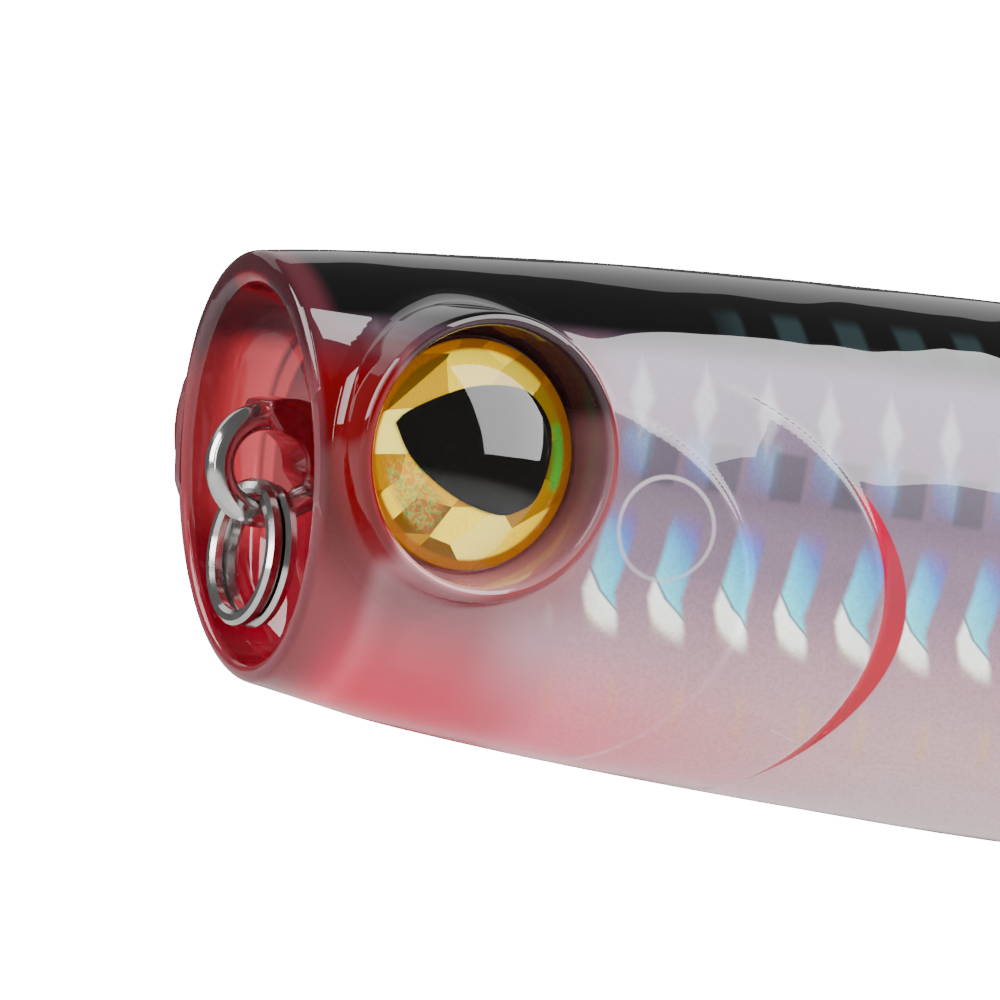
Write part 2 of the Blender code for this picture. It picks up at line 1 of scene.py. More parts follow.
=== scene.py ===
"""Looks of a topwater popper: lacquered skin over holographic foil, domed eyes, steel wire and hooks.

Frame: metres, origin at the centre of the tow loop, +X from nose to tail, +Z up, left side at -Y.
"""
from __future__ import annotations

import json
import logging
import math
from dataclasses import dataclass
from enum import Enum
from typing import Sequence, Union

import bmesh
import bpy
import numpy as np
from mathutils import Matrix, Vector

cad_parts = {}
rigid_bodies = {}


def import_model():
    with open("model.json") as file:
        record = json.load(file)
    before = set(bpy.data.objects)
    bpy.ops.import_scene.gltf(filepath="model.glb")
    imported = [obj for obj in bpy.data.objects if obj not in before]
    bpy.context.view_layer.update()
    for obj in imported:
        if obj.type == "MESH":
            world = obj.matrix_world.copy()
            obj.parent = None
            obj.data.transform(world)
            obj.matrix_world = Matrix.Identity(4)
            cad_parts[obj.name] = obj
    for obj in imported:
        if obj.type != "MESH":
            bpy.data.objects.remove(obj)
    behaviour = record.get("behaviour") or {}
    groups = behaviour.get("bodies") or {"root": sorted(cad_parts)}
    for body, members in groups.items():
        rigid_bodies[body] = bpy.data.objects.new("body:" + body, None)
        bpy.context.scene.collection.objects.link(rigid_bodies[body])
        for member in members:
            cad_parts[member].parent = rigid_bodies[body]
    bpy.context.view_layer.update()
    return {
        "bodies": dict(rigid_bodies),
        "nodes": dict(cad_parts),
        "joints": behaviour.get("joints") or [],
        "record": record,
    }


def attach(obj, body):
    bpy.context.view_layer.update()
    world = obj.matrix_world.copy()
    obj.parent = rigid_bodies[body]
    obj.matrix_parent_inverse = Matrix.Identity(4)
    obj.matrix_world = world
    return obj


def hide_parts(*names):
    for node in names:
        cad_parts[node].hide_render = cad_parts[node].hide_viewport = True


LOG = logging.getLogger("popper")
MM = 0.001
Point = tuple[float, float, float]
Color = tuple[float, float, float]
Stops = tuple[tuple[float, Color], ...]
WHITE: Color = (1.0, 1.0, 1.0)


# ================================================================ shader nodes

class Value:
    """A number that changes over a surface. Python's operators on it add Math nodes."""

    def __init__(self, net: "Net", socket: bpy.types.NodeSocket) -> None:
        """Wrap a socket of a node net."""
        self.net = net
        self.socket = socket

    def math(self, operation: str, *others: "Number") -> "Value":
        """Add a Math node.

        Args:
            operation: the node's operation.
            others: its further inputs.
        Returns:
            The node's output.
        """
        return self.net.math(operation, self, *others)

    def _flipped(self, operation: str, other: "Number") -> "Value":
        """Add a Math node with this value as its second input."""
        return self.net.math(operation, other, self)

    def __add__(self, other: "Number") -> "Value":
        """Sum."""
        return self.math("ADD", other)

    def __radd__(self, other: "Number") -> "Value":
        """Reflected sum."""
        return self.math("ADD", other)

    def __sub__(self, other: "Number") -> "Value":
        """Difference."""
        return self.math("SUBTRACT", other)

    def __rsub__(self, other: "Number") -> "Value":
        """Reflected difference."""
        return self._flipped("SUBTRACT", other)

    def __mul__(self, other: "Number") -> "Value":
        """Product."""
        return self.math("MULTIPLY", other)

    def __rmul__(self, other: "Number") -> "Value":
        """Reflected product."""
        return self.math("MULTIPLY", other)

    def __truediv__(self, other: "Number") -> "Value":
        """Quotient."""
        return self.math("DIVIDE", other)

    def __rtruediv__(self, other: "Number") -> "Value":
        """Reflected quotient."""
        return self._flipped("DIVIDE", other)

    def ramp_up(self, low: float, high: float) -> "Value":
        """Rise smoothly from 0 at low to 1 at high, or fall if high is below low.

        Args:
            low: where the result is 0.
            high: where the result is 1.
        Returns:
            The eased share, from 0 to 1.
        """
        start, end, first, last = (low, high, 0.0, 1.0) if low < high else (high, low, 1.0, 0.0)
        inputs = {"Value": self, "From Min": start, "From Max": end, "To Min": first, "To Max": last}
        node = self.net.node("ShaderNodeMapRange", {"interpolation_type": "SMOOTHSTEP"}, inputs)
        return Value(self.net, node.outputs[0])

    def band(self, middle: float, half: float, soft: float) -> "Value":
        """Be 1 within half of middle, falling to 0 over soft beyond it."""
        return (self - middle).math("ABSOLUTE").ramp_up(half + soft, half)


Number = Union[float, Value]
Paint = Union[Color, bpy.types.NodeSocket]


class Net:
    """The node net of one material."""

    def __init__(self, name: str) -> None:
        """Make an empty material with an output."""
        self.material = bpy.data.materials.new(name)
        self.material.use_nodes = True
        self.tree = self.material.node_tree
        self.tree.nodes.clear()
        self.output = self.tree.nodes.new("ShaderNodeOutputMaterial")

    def node(self, kind: str, settings: dict | None = None, inputs: dict | None = None) -> bpy.types.Node:
        """Add any node.

        Args:
            kind: the node's type.
            settings: its properties, or the stops of its ramp, set first.
            inputs: values or links of its sockets, by name or number.
        Returns:
            The node.
        """
        made = self.tree.nodes.new(kind)
        for key, value in (settings or {}).items():
            if key == "stops":
                self._set_stops(made.color_ramp, value)
            else:
                setattr(made, key, value)
        for key, value in (inputs or {}).items():
            target = made.inputs[key]
            if isinstance(value, Value):
                self.tree.links.new(value.socket, target)
            elif isinstance(value, bpy.types.NodeSocket):
                self.tree.links.new(value, target)
            elif isinstance(value, tuple) and len(value) == 3 and len(target.default_value) == 4:
                target.default_value = (*value, 1.0)
            else:
                target.default_value = value
        return made

    def math(self, operation: str, *inputs: Number) -> Value:
        """Add a Math node."""
        node = self.node("ShaderNodeMath", {"operation": operation}, dict(enumerate(inputs)))
        return Value(self, node.outputs[0])

    @staticmethod
    def _set_stops(ramp: bpy.types.ColorRamp, stops: Stops) -> None:
        """Give a ramp its stops."""
        while len(ramp.elements) < len(stops):
            ramp.elements.new(1.0)
        for element, (place, color) in zip(ramp.elements, stops):
            element.position = place
            element.color = (*color, 1.0)

    def place(self) -> tuple[Value, Value, Value]:
        """Return X, Y and Z of the surface point, in millimetres."""
        split = self.node("ShaderNodeSeparateXYZ", None, {0: self.place_vector()})
        return tuple(Value(self, socket) for socket in split.outputs)

    def place_vector(self, stretch: Point = (1.0, 1.0, 1.0)) -> bpy.types.NodeSocket:
        """Return the surface point in millimetres as a vector, stretched along each axis."""
        source = self.node("ShaderNodeTexCoord").outputs["Object"]
        inputs = {0: source, 1: tuple(1000.0 * s for s in stretch)}
        return self.node("ShaderNodeVectorMath", {"operation": "MULTIPLY"}, inputs).outputs[0]

    def attribute(self, name: str) -> Value:
        """Read a number stored on the mesh."""
        return Value(self, self.node("ShaderNodeAttribute", {"attribute_name": name}).outputs["Fac"])

    def noise(self, scale: float, detail: float = 2.0, stretch: Point = (1.0, 1.0, 1.0)) -> Value:
        """Smooth noise, with scale in waves a millimetre."""
        inputs = {"Vector": self.place_vector(stretch), "Scale": scale, "Detail": detail}
        return Value(self, self.node("ShaderNodeTexNoise", None, inputs).outputs[0])

    def mix(self, share: Number, first: Paint, second: Paint) -> bpy.types.NodeSocket:
        """Blend two colours.

        Args:
            share: 0 for the first, 1 for the second.
            first: a colour or a colour socket.
            second: a colour or a colour socket.
        Returns:
            The blended colour.
        """
        inputs = {0: share, 6: first, 7: second}
        return self.node("ShaderNodeMix", {"data_type": "RGBA"}, inputs).outputs[2]

    def ramp(self, share: Number, stops: Stops, hard: bool = False) -> bpy.types.NodeSocket:
        """Turn a share into a colour along a ramp.

        Args:
            share: the place on the ramp, from 0 to 1.
            stops: the ramp's places and colours.
            hard: whether it steps from colour to colour.
        Returns:
            The colour.
        """
        node = self.node("ShaderNodeValToRGB", {"stops": stops}, {0: share})
        node.color_ramp.interpolation = "CONSTANT" if hard else "LINEAR"
        return node.outputs[0]

    def scaled(self, color: Paint, factor: Number) -> bpy.types.NodeSocket:
        """Make a colour brighter or darker."""
        inputs = {0: color, "Scale": factor}
        return self.node("ShaderNodeVectorMath", {"operation": "SCALE"}, inputs).outputs[0]

    def bump(self, height: Value, strength: float, distance: float) -> bpy.types.NodeSocket:
        """Turn a height into a normal."""
        inputs = {"Strength": strength, "Distance": distance, "Height": height}
        return self.node("ShaderNodeBump", None, inputs).outputs[0]

    def principled(self, **inputs: object) -> bpy.types.NodeSocket:
        """Add a Principled shader; underscores in a name stand for spaces."""
        named = {key.replace("_", " "): value for key, value in inputs.items()}
        return self.node("ShaderNodeBsdfPrincipled", None, named).outputs[0]

    def blend(self, share: Value | bpy.types.NodeSocket, first: bpy.types.NodeSocket,
              second: bpy.types.NodeSocket) -> bpy.types.NodeSocket:
        """Mix two shaders.

        Args:
            share: 0 for the first, 1 for the second.
            first: a shader.
            second: a shader.
        Returns:
            The mixed shader.
        """
        return self.node("ShaderNodeMixShader", None, {0: share, 1: first, 2: second}).outputs[0]

    def facing_away(self) -> Value:
        """Return 1 on the inner side of a surface."""
        return Value(self, self.node("ShaderNodeNewGeometry").outputs["Backfacing"])

    def clear(self, tint: Color, roughness: float, normal: bpy.types.NodeSocket | None = None,
              ior: float = 1.49) -> bpy.types.NodeSocket:
        """Build clear plastic that lets lamplight through to what it covers.

        Args:
            tint: its colour, the same all over.
            roughness: how much it blurs.
            normal: a bumped normal, if it has one.
            ior: its index of refraction.
        Returns:
            The shader.
        """
        inputs = {"Color": tint, "Roughness": roughness, "IOR": ior}
        if normal is not None:
            inputs["Normal"] = normal
        glass = self.node("ShaderNodeBsdfGlass", None, inputs)
        open_way = self.node("ShaderNodeBsdfTransparent", None, {"Color": tint})
        shadow = self.node("ShaderNodeLightPath").outputs["Is Shadow Ray"]
        return self.blend(shadow, glass.outputs[0], open_way.outputs[0])

    def lacquer(self, under: bpy.types.NodeSocket, normal: bpy.types.NodeSocket,
                roughness: float = 0.015) -> bpy.types.NodeSocket:
        """Put a clear gloss coat over a shader, seen from outside only.

        Args:
            under: the shader below.
            normal: the coat's own bumped normal.
            roughness: how much the coat blurs.
        Returns:
            The coated shader.
        """
        inputs = {"Color": WHITE, "Roughness": roughness, "Normal": normal}
        gloss = self.node("ShaderNodeBsdfAnisotropic", None, inputs).outputs[0]
        return self.blend(self.fresnel() * (1.0 - self.facing_away()), under, gloss)

    def fresnel(self) -> Value:
        """Return how much of the light resin reflects at each angle."""
        return Value(self, self.node("ShaderNodeFresnel", None, {"IOR": 1.5}).outputs[0])

    def finish(self, shader: bpy.types.NodeSocket) -> bpy.types.Material:
        """Link the surface shader and return the material."""
        self.tree.links.new(shader, self.output.inputs["Surface"])
        return self.material


# ================================================================ sizes shared by the pieces

@dataclass(frozen=True)
class BodyForm:
    """The lure's turned form, narrowed across Y, with a slanted face. Lengths are in millimetres."""

    axis_z: float = -0.2
    narrowing: float = 0.8

    face_z: float = -0.63
    face_slant: float = math.radians(7.4)
    front_x: float = -4.0
    rear_x: float = 138.0
    stations: tuple[tuple[float, float], ...] = (
        (-4.0, 12.2), (-1.1, 12.8), (6.0, 13.9), (12.0, 14.6), (20.0, 15.35), (30.0, 16.05),
        (40.0, 16.6), (52.0, 17.15), (64.0, 17.3), (78.0, 16.8), (92.0, 15.2), (106.0, 12.5),
        (120.0, 9.4), (132.0, 6.8), (138.0, 5.5))
    tail_end: tuple[tuple[float, float], ...] = (
        (138.0, 5.5), (138.7, 5.1), (139.3, 4.5), (139.75, 3.7), (140.0, 2.6), (140.0, 1.3))

    def half_height(self, x: np.ndarray) -> np.ndarray:
        """Work out the half height of the body along it: a smooth curve through the stations.

        Args:
            x: places along the body, in millimetres.
        Returns:
            The half height at each place.
        """
        x = np.clip(x, self.front_x, self.rear_x)
        places = np.array([p for p, _ in self.stations])
        heights = np.array([h for _, h in self.stations])
        slopes = np.gradient(heights, places)
        slopes[1:-1] = (heights[2:] - heights[:-2]) / (places[2:] - places[:-2])
        i = np.clip(np.searchsorted(places, x, side="right") - 1, 0, len(places) - 2)
        span = places[i + 1] - places[i]
        t = (x - places[i]) / span
        return ((2 * t**3 - 3 * t**2 + 1) * heights[i] + (t**3 - 2 * t**2 + t) * span * slopes[i]
                + (3 * t**2 - 2 * t**3) * heights[i + 1] + (t**3 - t**2) * span * slopes[i + 1])


@dataclass(frozen=True)
class EyeForm:
    """Where the eyes sit and how their pockets are cut. Lengths are in millimetres."""

    x: float = 8.3
    z: float = 2.3
    disc_radius: float = 6.85
    floor_y: float = 9.6
    dome_height: float = 2.55
    gap: float = 0.3
    disc_thickness: float = 0.4


BODY = BodyForm()
EYE = EyeForm()


class Side(Enum):
    """A flank of the lure, by the sign of its Y."""

    LEFT = -1
    RIGHT = 1


# ================================================================ mesh helpers

def smooth_step(value: np.ndarray, low: float, high: float) -> np.ndarray:
    """Rise smoothly from 0 at low to 1 at high."""
    t = np.clip((value - low) / (high - low), 0.0, 1.0)
    return t * t * (3 - 2 * t)


def make_object(name: str, mesh: bpy.types.Mesh, sharp: float = 40.0) -> bpy.types.Object:
    """Link a mesh, shaded smooth up to an edge angle.

    Args:
        name: the object's name.
        mesh: its mesh, in metres.
        sharp: edges steeper than this many degrees stay crisp.
    Returns:
        The object.
    """
    mesh.shade_smooth()
    mesh.set_sharp_from_angle(angle=math.radians(sharp))
    obj = bpy.data.objects.new(name, mesh)
    bpy.context.scene.collection.objects.link(obj)
    return obj


def tidy_mesh(mesh: bpy.types.Mesh) -> bpy.types.Mesh:
    """Weld a mesh and turn its faces outwards.

    Args:
        mesh: the mesh, which changes.
    Returns:
        The same mesh.
    """
    work = bmesh.new()
    work.from_mesh(mesh)
    bmesh.ops.remove_doubles(work, verts=work.verts, dist=0.002 * MM)
    bmesh.ops.recalc_face_normals(work, faces=work.faces)
    work.to_mesh(mesh)
    work.free()
    return mesh


def mesh_from_rows(name: str, rows: Sequence[np.ndarray], loop: bool = False) -> bpy.types.Mesh:
    """Skin rings of points into a mesh. A row of one point is a pole.

    Args:
        name: the mesh's name.
        rows: arrays of points in millimetres, each row with the same count or with one point.
        loop: whether the last row joins the first.
    Returns:
        The mesh, in metres.
    """
    points = np.concatenate(rows) * MM
    starts = np.cumsum([0] + [len(row) for row in rows])
    faces: list[tuple[int, ...]] = []
    pairs = list(zip(range(len(rows) - 1), range(1, len(rows)))) + ([(len(rows) - 1, 0)] if loop else [])
    for a, b in pairs:
        count = max(len(rows[a]), len(rows[b]))
        low, high = starts[a], starts[b]
        for i in range(count):
            j = (i + 1) % count
            if len(rows[a]) == 1:
                faces.append((low, high + j, high + i))
            elif len(rows[b]) == 1:
                faces.append((low + i, low + j, high))
            else:
                faces.append((low + i, low + j, high + j, high + i))
    mesh = bpy.data.meshes.new(name)
    mesh.from_pydata(points.tolist(), [], faces)
    return mesh


def ring_row(radius: float, height: float, count: int) -> np.ndarray:
    """Return a circle of points about the Z axis, or one point if its radius is 0."""
    if radius < 1e-6:
        return np.array([[0.0, 0.0, height]])
    angle = np.linspace(0, math.tau, count, endpoint=False)
    return np.stack([radius * np.cos(angle), radius * np.sin(angle), np.full(count, height)], 1)


def turned(name: str, profile: Sequence[tuple[float, float]], count: int, place: Matrix,
           loop: bool = False) -> bpy.types.Mesh:
    """Turn a profile about its Z axis and place it.

    Args:
        name: the mesh's name.
        profile: (radius, height) points in millimetres.
        count: points round the turn.
        place: where the turned form goes, in metres.
        loop: whether the profile is a closed outline.
    Returns:
        The mesh, in metres.
    """
    mesh = mesh_from_rows(name, [ring_row(r, h, count) for r, h in profile], loop=loop)
    mesh.transform(place)
    return tidy_mesh(mesh)


def swept(name: str, path: np.ndarray, radii: np.ndarray, count: int,
          closed: bool = False) -> bpy.types.Mesh:
    """Sweep a circle along a path, with rounded ends unless the path is closed.

    Args:
        name: the mesh's name.
        path: points in millimetres.
        radii: the wire's radius at each point.
        count: points round the wire.
        closed: whether the path is a loop.
    Returns:
        The mesh, in metres.
    """
    last = len(path)
    if closed:
        tangents = np.roll(path, -1, 0) - np.roll(path, 1, 0)
    else:
        tangents = np.gradient(path, axis=0)
    tangents /= np.linalg.norm(tangents, axis=1)[:, None]
    side = np.cross(tangents[0], [0.0, 1.0, 0.0])
    if np.linalg.norm(side) < 0.1:
        side = np.cross(tangents[0], [1.0, 0.0, 0.0])
    angle = np.linspace(0, math.tau, count, endpoint=False)
    rows = []
    for i in range(last):
        side = side - tangents[i] * side.dot(tangents[i])
        side /= np.linalg.norm(side)
        up = np.cross(tangents[i], side)
        circle = np.outer(np.cos(angle), side) + np.outer(np.sin(angle), up)
        rows.append(path[i] + radii[i] * circle)
    if not closed:
        for end, sign in ((0, -1), (last - 1, 1)):
            row, centre = rows[0 if end == 0 else -1], path[end]
            out = sign * tangents[end] * radii[end]
            caps = [centre + (row - centre) * math.cos(a) + out * math.sin(a) for a in (0.5, 1.0)]
            caps.append((centre + out)[None, :])
            rows = caps[::-1] + rows if end == 0 else rows + caps
    return tidy_mesh(mesh_from_rows(name, rows, loop=closed))


def curve_through(points: Sequence[Sequence[float]], step: float) -> np.ndarray:
    """Sample a smooth curve through points.

    Args:
        points: the points that it passes.
        step: the length between samples.
    Returns:
        The samples, with both ends.
    """
    known = np.array(points, float)
    padded = np.vstack([2 * known[0] - known[1], known, 2 * known[-1] - known[-2]])
    made = [known[0]]
    for i in range(1, len(padded) - 2):
        a, b, c, d = padded[i - 1:i + 3]
        count = max(1, int(round(np.linalg.norm(c - b) / step)))
        for t in np.linspace(0, 1, count + 1)[1:]:
            made.append(0.5 * (2 * b + (c - a) * t + (2 * a - 5 * b + 4 * c - d) * t**2
                               + (3 * b - a - 3 * c + d) * t**3))
    return np.array(made)


def cut(obj: bpy.types.Object, tool: bpy.types.Object, operation: str = "DIFFERENCE") -> None:
    """Cut or join a tool into an object, apply it and remove the tool.

    Args:
        obj: the object that changes.
        tool: the object that is used up.
        operation: the Boolean operation.
    """
    modifier = obj.modifiers.new("cut", "BOOLEAN")
    modifier.operation = operation
    modifier.solver = "EXACT"
    modifier.object = tool
    apply_modifiers(obj)
    bpy.data.objects.remove(tool)


def apply_modifiers(obj: bpy.types.Object) -> None:
    """Replace an object's mesh by its evaluated one and clear its modifiers."""
    graph = bpy.context.evaluated_depsgraph_get()
    mesh = bpy.data.meshes.new_from_object(obj.evaluated_get(graph))
    obj.modifiers.clear()
    obj.data = mesh


def dress(obj: bpy.types.Object, material: bpy.types.Material, body: str, slot: str, *nodes: str) -> None:
    """Give a finished piece its material and its body, and hide the CAD nodes that it stands for.

    Args:
        obj: the piece.
        material: its finish.
        body: the body that it rides on.
        slot: not used.
        nodes: the CAD nodes that it replaces.
    """
    obj.data.materials.clear()
    obj.data.materials.append(material)
    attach(obj, body)
    if nodes:
        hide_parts(*nodes)
    LOG.info("%s: %d faces, rides on %s", obj.name, len(obj.data.polygons), body)


# ================================================================ geometry nodes

class GeometryNet:
    """A geometry node tree built in the script, with named inputs."""

    def __init__(self, name: str, numbers: dict[str, float]) -> None:
        """Make a tree.

        Args:
            name: the tree's name.
            numbers: its named number inputs with their values.
        """
        self.tree = bpy.data.node_groups.new(name, "GeometryNodeTree")
        self.numbers = numbers
        self.tree.interface.new_socket("Geometry", in_out="INPUT", socket_type="NodeSocketGeometry")
        self.sockets = {
            key: self.tree.interface.new_socket(key, in_out="INPUT", socket_type="NodeSocketFloat")
            for key in numbers}
        self.tree.interface.new_socket("Geometry", in_out="OUTPUT", socket_type="NodeSocketGeometry")
        self.start = self.tree.nodes.new("NodeGroupInput")
        self.end = self.tree.nodes.new("NodeGroupOutput")

    def node(self, kind: str, settings: dict | None = None, inputs: dict | None = None) -> bpy.types.Node:
        """Add a node.

        Args:
            kind: the node's type.
            settings: its properties.
            inputs: values or links of its sockets, by name or number.
        Returns:
            The node.
        """
        made = self.tree.nodes.new(kind)
        for key, value in (settings or {}).items():
            setattr(made, key, value)
        for key, value in (inputs or {}).items():
            if isinstance(value, bpy.types.NodeSocket):
                self.tree.links.new(value, made.inputs[key])
            else:
                made.inputs[key].default_value = value
        return made

    def number(self, name: str) -> bpy.types.NodeSocket:
        """Return a named input."""
        return self.start.outputs[name]

    def math(self, operation: str, *inputs: object) -> bpy.types.NodeSocket:
        """Add a Math node."""
        return self.node("ShaderNodeMath", {"operation": operation}, dict(enumerate(inputs))).outputs[0]

    def build(self, name: str, last: bpy.types.NodeSocket, material: bpy.types.Material,
              mesh: bpy.types.Mesh | None = None) -> bpy.types.Mesh:
        """End the tree, run it and return its plain mesh.

        Args:
            name: the result's name.
            last: the geometry to output.
            material: the material that the tree sets.
            mesh: the mesh that the tree starts from, if it uses one.
        Returns:
            The mesh, with the tree's modifier gone.
        """
        real = self.node("GeometryNodeRealizeInstances", None, {0: last})
        painted = self.node("GeometryNodeSetMaterial", None,
                            {"Geometry": real.outputs[0], "Material": material})
        self.tree.links.new(painted.outputs[0], self.end.inputs[0])
        holder = bpy.data.objects.new(name, mesh or bpy.data.meshes.new(name))
        bpy.context.scene.collection.objects.link(holder)
        modifier = holder.modifiers.new(name, "NODES")
        modifier.node_group = self.tree
        for key, socket in self.sockets.items():
            modifier[socket.identifier] = self.numbers[key]
        apply_modifiers(holder)
        made = holder.data
        bpy.data.objects.remove(holder)
        return made


# ================================================================ finishes

@dataclass(frozen=True)
class Chrome:
    """Polished steel wire with fine drawing marks and a few duller patches."""

    name: str
    color: Color = (0.62, 0.61, 0.60)
    roughness: float = 0.13
    worn: float = 0.3

    def material(self) -> bpy.types.Material:
        """Build the material."""
        net = Net(self.name)
        patch = net.noise(0.35, 3.0)
        marks = net.noise(2.5, 4.0, (1.0, 1.0, 0.25))
        rough = patch.ramp_up(0.45, 0.7) * (self.worn - self.roughness) + self.roughness
        tone = net.mix(patch.ramp_up(0.35, 0.75), self.color, tuple(0.72 * c for c in self.color))
        bump = net.bump(marks, 0.12, 0.00005)
        return net.finish(net.principled(Base_Color=tone, Metallic=1.0, Roughness=rough, Normal=bump))


@dataclass(frozen=True)
class Cast:
    """Dull cast or moulded stuff with mottled colour and a grainy face."""

    name: str
    light: Color
    dark: Color
    metallic: float = 0.0
    roughness: float = 0.5
    grain: float = 0.8

    def material(self) -> bpy.types.Material:
        """Build the material."""
        net = Net(self.name)
        mottle = net.noise(self.grain * 0.4, 4.0)
        grain = net.noise(self.grain * 3.0, 3.0)
        tone = net.mix(mottle.ramp_up(0.3, 0.7), self.dark, self.light)
        rough = grain * 0.2 + (self.roughness - 0.1)
        bump = net.bump(grain, 0.3, 0.0001)
        return net.finish(net.principled(
            Base_Color=tone, Metallic=self.metallic, Roughness=rough, Normal=bump))


@dataclass(frozen=True)
class ClearTube:
    """Thin clear plastic with faint flow lines."""

    name: str
    tint: Color = (0.92, 0.93, 0.95)

    def material(self) -> bpy.types.Material:
        """Build the material."""
        net = Net(self.name)
        flow = net.noise(0.3, 2.0, (0.2, 1.0, 1.0))
        return net.finish(net.clear(self.tint, 0.03, net.bump(flow, 0.3, 0.0002)))


@dataclass(frozen=True)
class GoldShards:
    """Gold prismatic foil: flat shards that each tilt their own way, in yellow, gold and olive, with a
    painted glow.
    """

    name: str
    eye: EyeForm = EYE
    shard_scale: float = 0.42
    shard_turn: float = math.radians(38.0)
    tilt: float = 1.2
    golds: Stops = (
        (0.0, (0.30, 0.14, 0.0)), (0.12, (0.80, 0.38, 0.0)), (0.30, (1.4, 0.80, 0.0)),
        (0.50, (1.7, 1.15, 0.0)), (0.68, (2.0, 1.45, 0.05)), (0.82, (0.55, 0.33, 0.0)),
        (0.90, (2.2, 1.8, 0.3)))
    specks: Stops = (
        (0.0, (0.9, 0.35, 0.02)), (0.46, (1.0, 0.75, 0.1)), (0.54, (0.15, 0.65, 0.12)),
        (0.6, (1.0, 0.2, 0.02)))
    streak_green: Color = (0.12, 0.75, 0.05)
    edge_brown: Color = (0.60, 0.20, 0.0)

    def shards(self, net: Net, across: Value, up: Value) -> tuple[bpy.types.NodeSocket, Value]:
        """Lay out the shards.

        Args:
            net: the material's net.
            across: distance from the eye's middle along the lure.
            up: distance above it.
        Returns:
            The shards' colour, and a height whose slope tilts each of them.
        """
        cosine, sine = math.cos(self.shard_turn), math.sin(self.shard_turn)
        along, over = across * cosine + up * sine, up * cosine - across * sine
        spot = net.node("ShaderNodeCombineXYZ", None,
                        {0: along * 0.62, 1: over * 1.25, 2: 3.7}).outputs[0]
        cells = net.node("ShaderNodeTexVoronoi", {"voronoi_dimensions": "2D"},
                         {"Vector": spot, "Scale": self.shard_scale, "Randomness": 1.0})
        tone = net.node("ShaderNodeSeparateColor", None, {0: cells.outputs["Color"]})
        first, second, third = (Value(net, socket) for socket in tone.outputs)
        gap = net.node("ShaderNodeVectorMath", {"operation": "SUBTRACT"},
                       {0: spot, 1: cells.outputs["Position"]}).outputs[0]
        offset = net.node("ShaderNodeSeparateXYZ", None, {0: gap}).outputs
        height = Value(net, offset[0]) * (first - 0.5) + Value(net, offset[1]) * (second - 0.5)
        return net.ramp(third, self.golds, hard=True), height

    def material(self) -> bpy.types.Material:
        """Build the material."""
        net = Net(self.name)
        x, _, z = net.place()
        across, up = x - self.eye.x, z - self.eye.z
        color, height = self.shards(net, across, up)
        reach = (across * across + up * up).math("SQRT")
        angle = up.math("ARCTAN2", across)
        specks = net.ramp(net.noise(2.2, 2.0), self.specks, hard=True)
        patch = angle.band(-2.45, 0.35, 0.3) * reach.band(4.3, 0.9, 0.6)
        color = net.mix(patch * 0.75, color, specks)
        streak = angle.band(0.1, 0.28, 0.12) * reach.ramp_up(5.2, 6.0) * reach.ramp_up(6.6, 6.2)
        color = net.mix(streak, color, self.streak_green)
        color = net.mix(reach.ramp_up(6.1, 6.35), color, self.edge_brown)
        bump = net.bump(height * self.tilt + net.noise(6.0, 2.0) * 0.03, 1.0, 0.0012)
        return net.finish(net.principled(
            # Painted glow: the foil emits its own colour, so it shines brighter than the lamps alone make
            # it.
            Base_Color=net.scaled(color, 0.38), Metallic=0.15, Roughness=0.3, Normal=bump,
            Specular_IOR_Level=0.0, Emission_Color=color, Emission_Strength=0.26))


@dataclass(frozen=True)
class Pupil:
    """Black gloss print with a faint texture."""

    name: str

    def material(self) -> bpy.types.Material:
        """Build the material."""
        net = Net(self.name)
        fine = net.noise(3.0, 3.0)
        tone = net.mix(fine, (0.002, 0.002, 0.002), (0.006, 0.005, 0.004))
        bump = net.bump(fine, 0.1, 0.0001)
        return net.finish(net.principled(
            Base_Color=tone, Roughness=fine * 0.2 + 0.2, Specular_IOR_Level=0.0, Normal=bump))


@dataclass(frozen=True)
class DomeResin:
    """Clear poured resin."""

    name: str

    def material(self) -> bpy.types.Material:
        """Build the material."""
        net = Net(self.name)
        through = net.node("ShaderNodeBsdfTransparent", None, {"Color": (0.99, 0.99, 0.98)}).outputs[0]
        gloss = net.node("ShaderNodeBsdfAnisotropic", None, {"Color": WHITE, "Roughness": 0.0}).outputs[0]
        haze = net.noise(0.25, 2.0) * 0.06 + 0.97
        return net.finish(net.blend(net.fresnel() * (1.0 - net.facing_away()) * haze, through, gloss))


@dataclass(frozen=True)
class SkinPoint:
    """Where a point of the skin lies, in millimetres, and the masks that its layers share."""

    net: Net
    x: Value
    y: Value
    z: Value
    rise: Value
    cup: Value
    level: Value
    wall: Value
    socket: Value

    @classmethod
    def read(cls, net: Net) -> SkinPoint:
        """Read the point that a material shades.

        Args:
            net: the material's net.
        Returns:
            The point: its place, its height as a share of the body's half height, 1 in the mouth, the
            distance behind the slanted lip, and 1 on the wall round the eye and in the eye's socket.
        """
        x, y, z = net.place()
        eye_x, eye_z = x - EYE.x, z - EYE.z
        reach = (eye_x * eye_x + eye_z * eye_z).math("SQRT")
        angle = eye_z.math("ARCTAN2", eye_x)
        wall = reach.ramp_up(7.98, 8.12) * reach.ramp_up(9.3, 8.9)
        wall = wall * angle.ramp_up(-2.0, -1.3) * angle.ramp_up(0.95, 0.75)
        socket = reach.ramp_up(8.35, 8.2) * y.math("ABSOLUTE").ramp_up(9.2, 9.7)
        socket = socket * angle.band(1.45, 0.9, 0.35)
        level = x + (z + 0.63) * 0.13
        return cls(net, x, y, z, net.attribute("rise"), net.attribute("cup"), level, wall, socket)


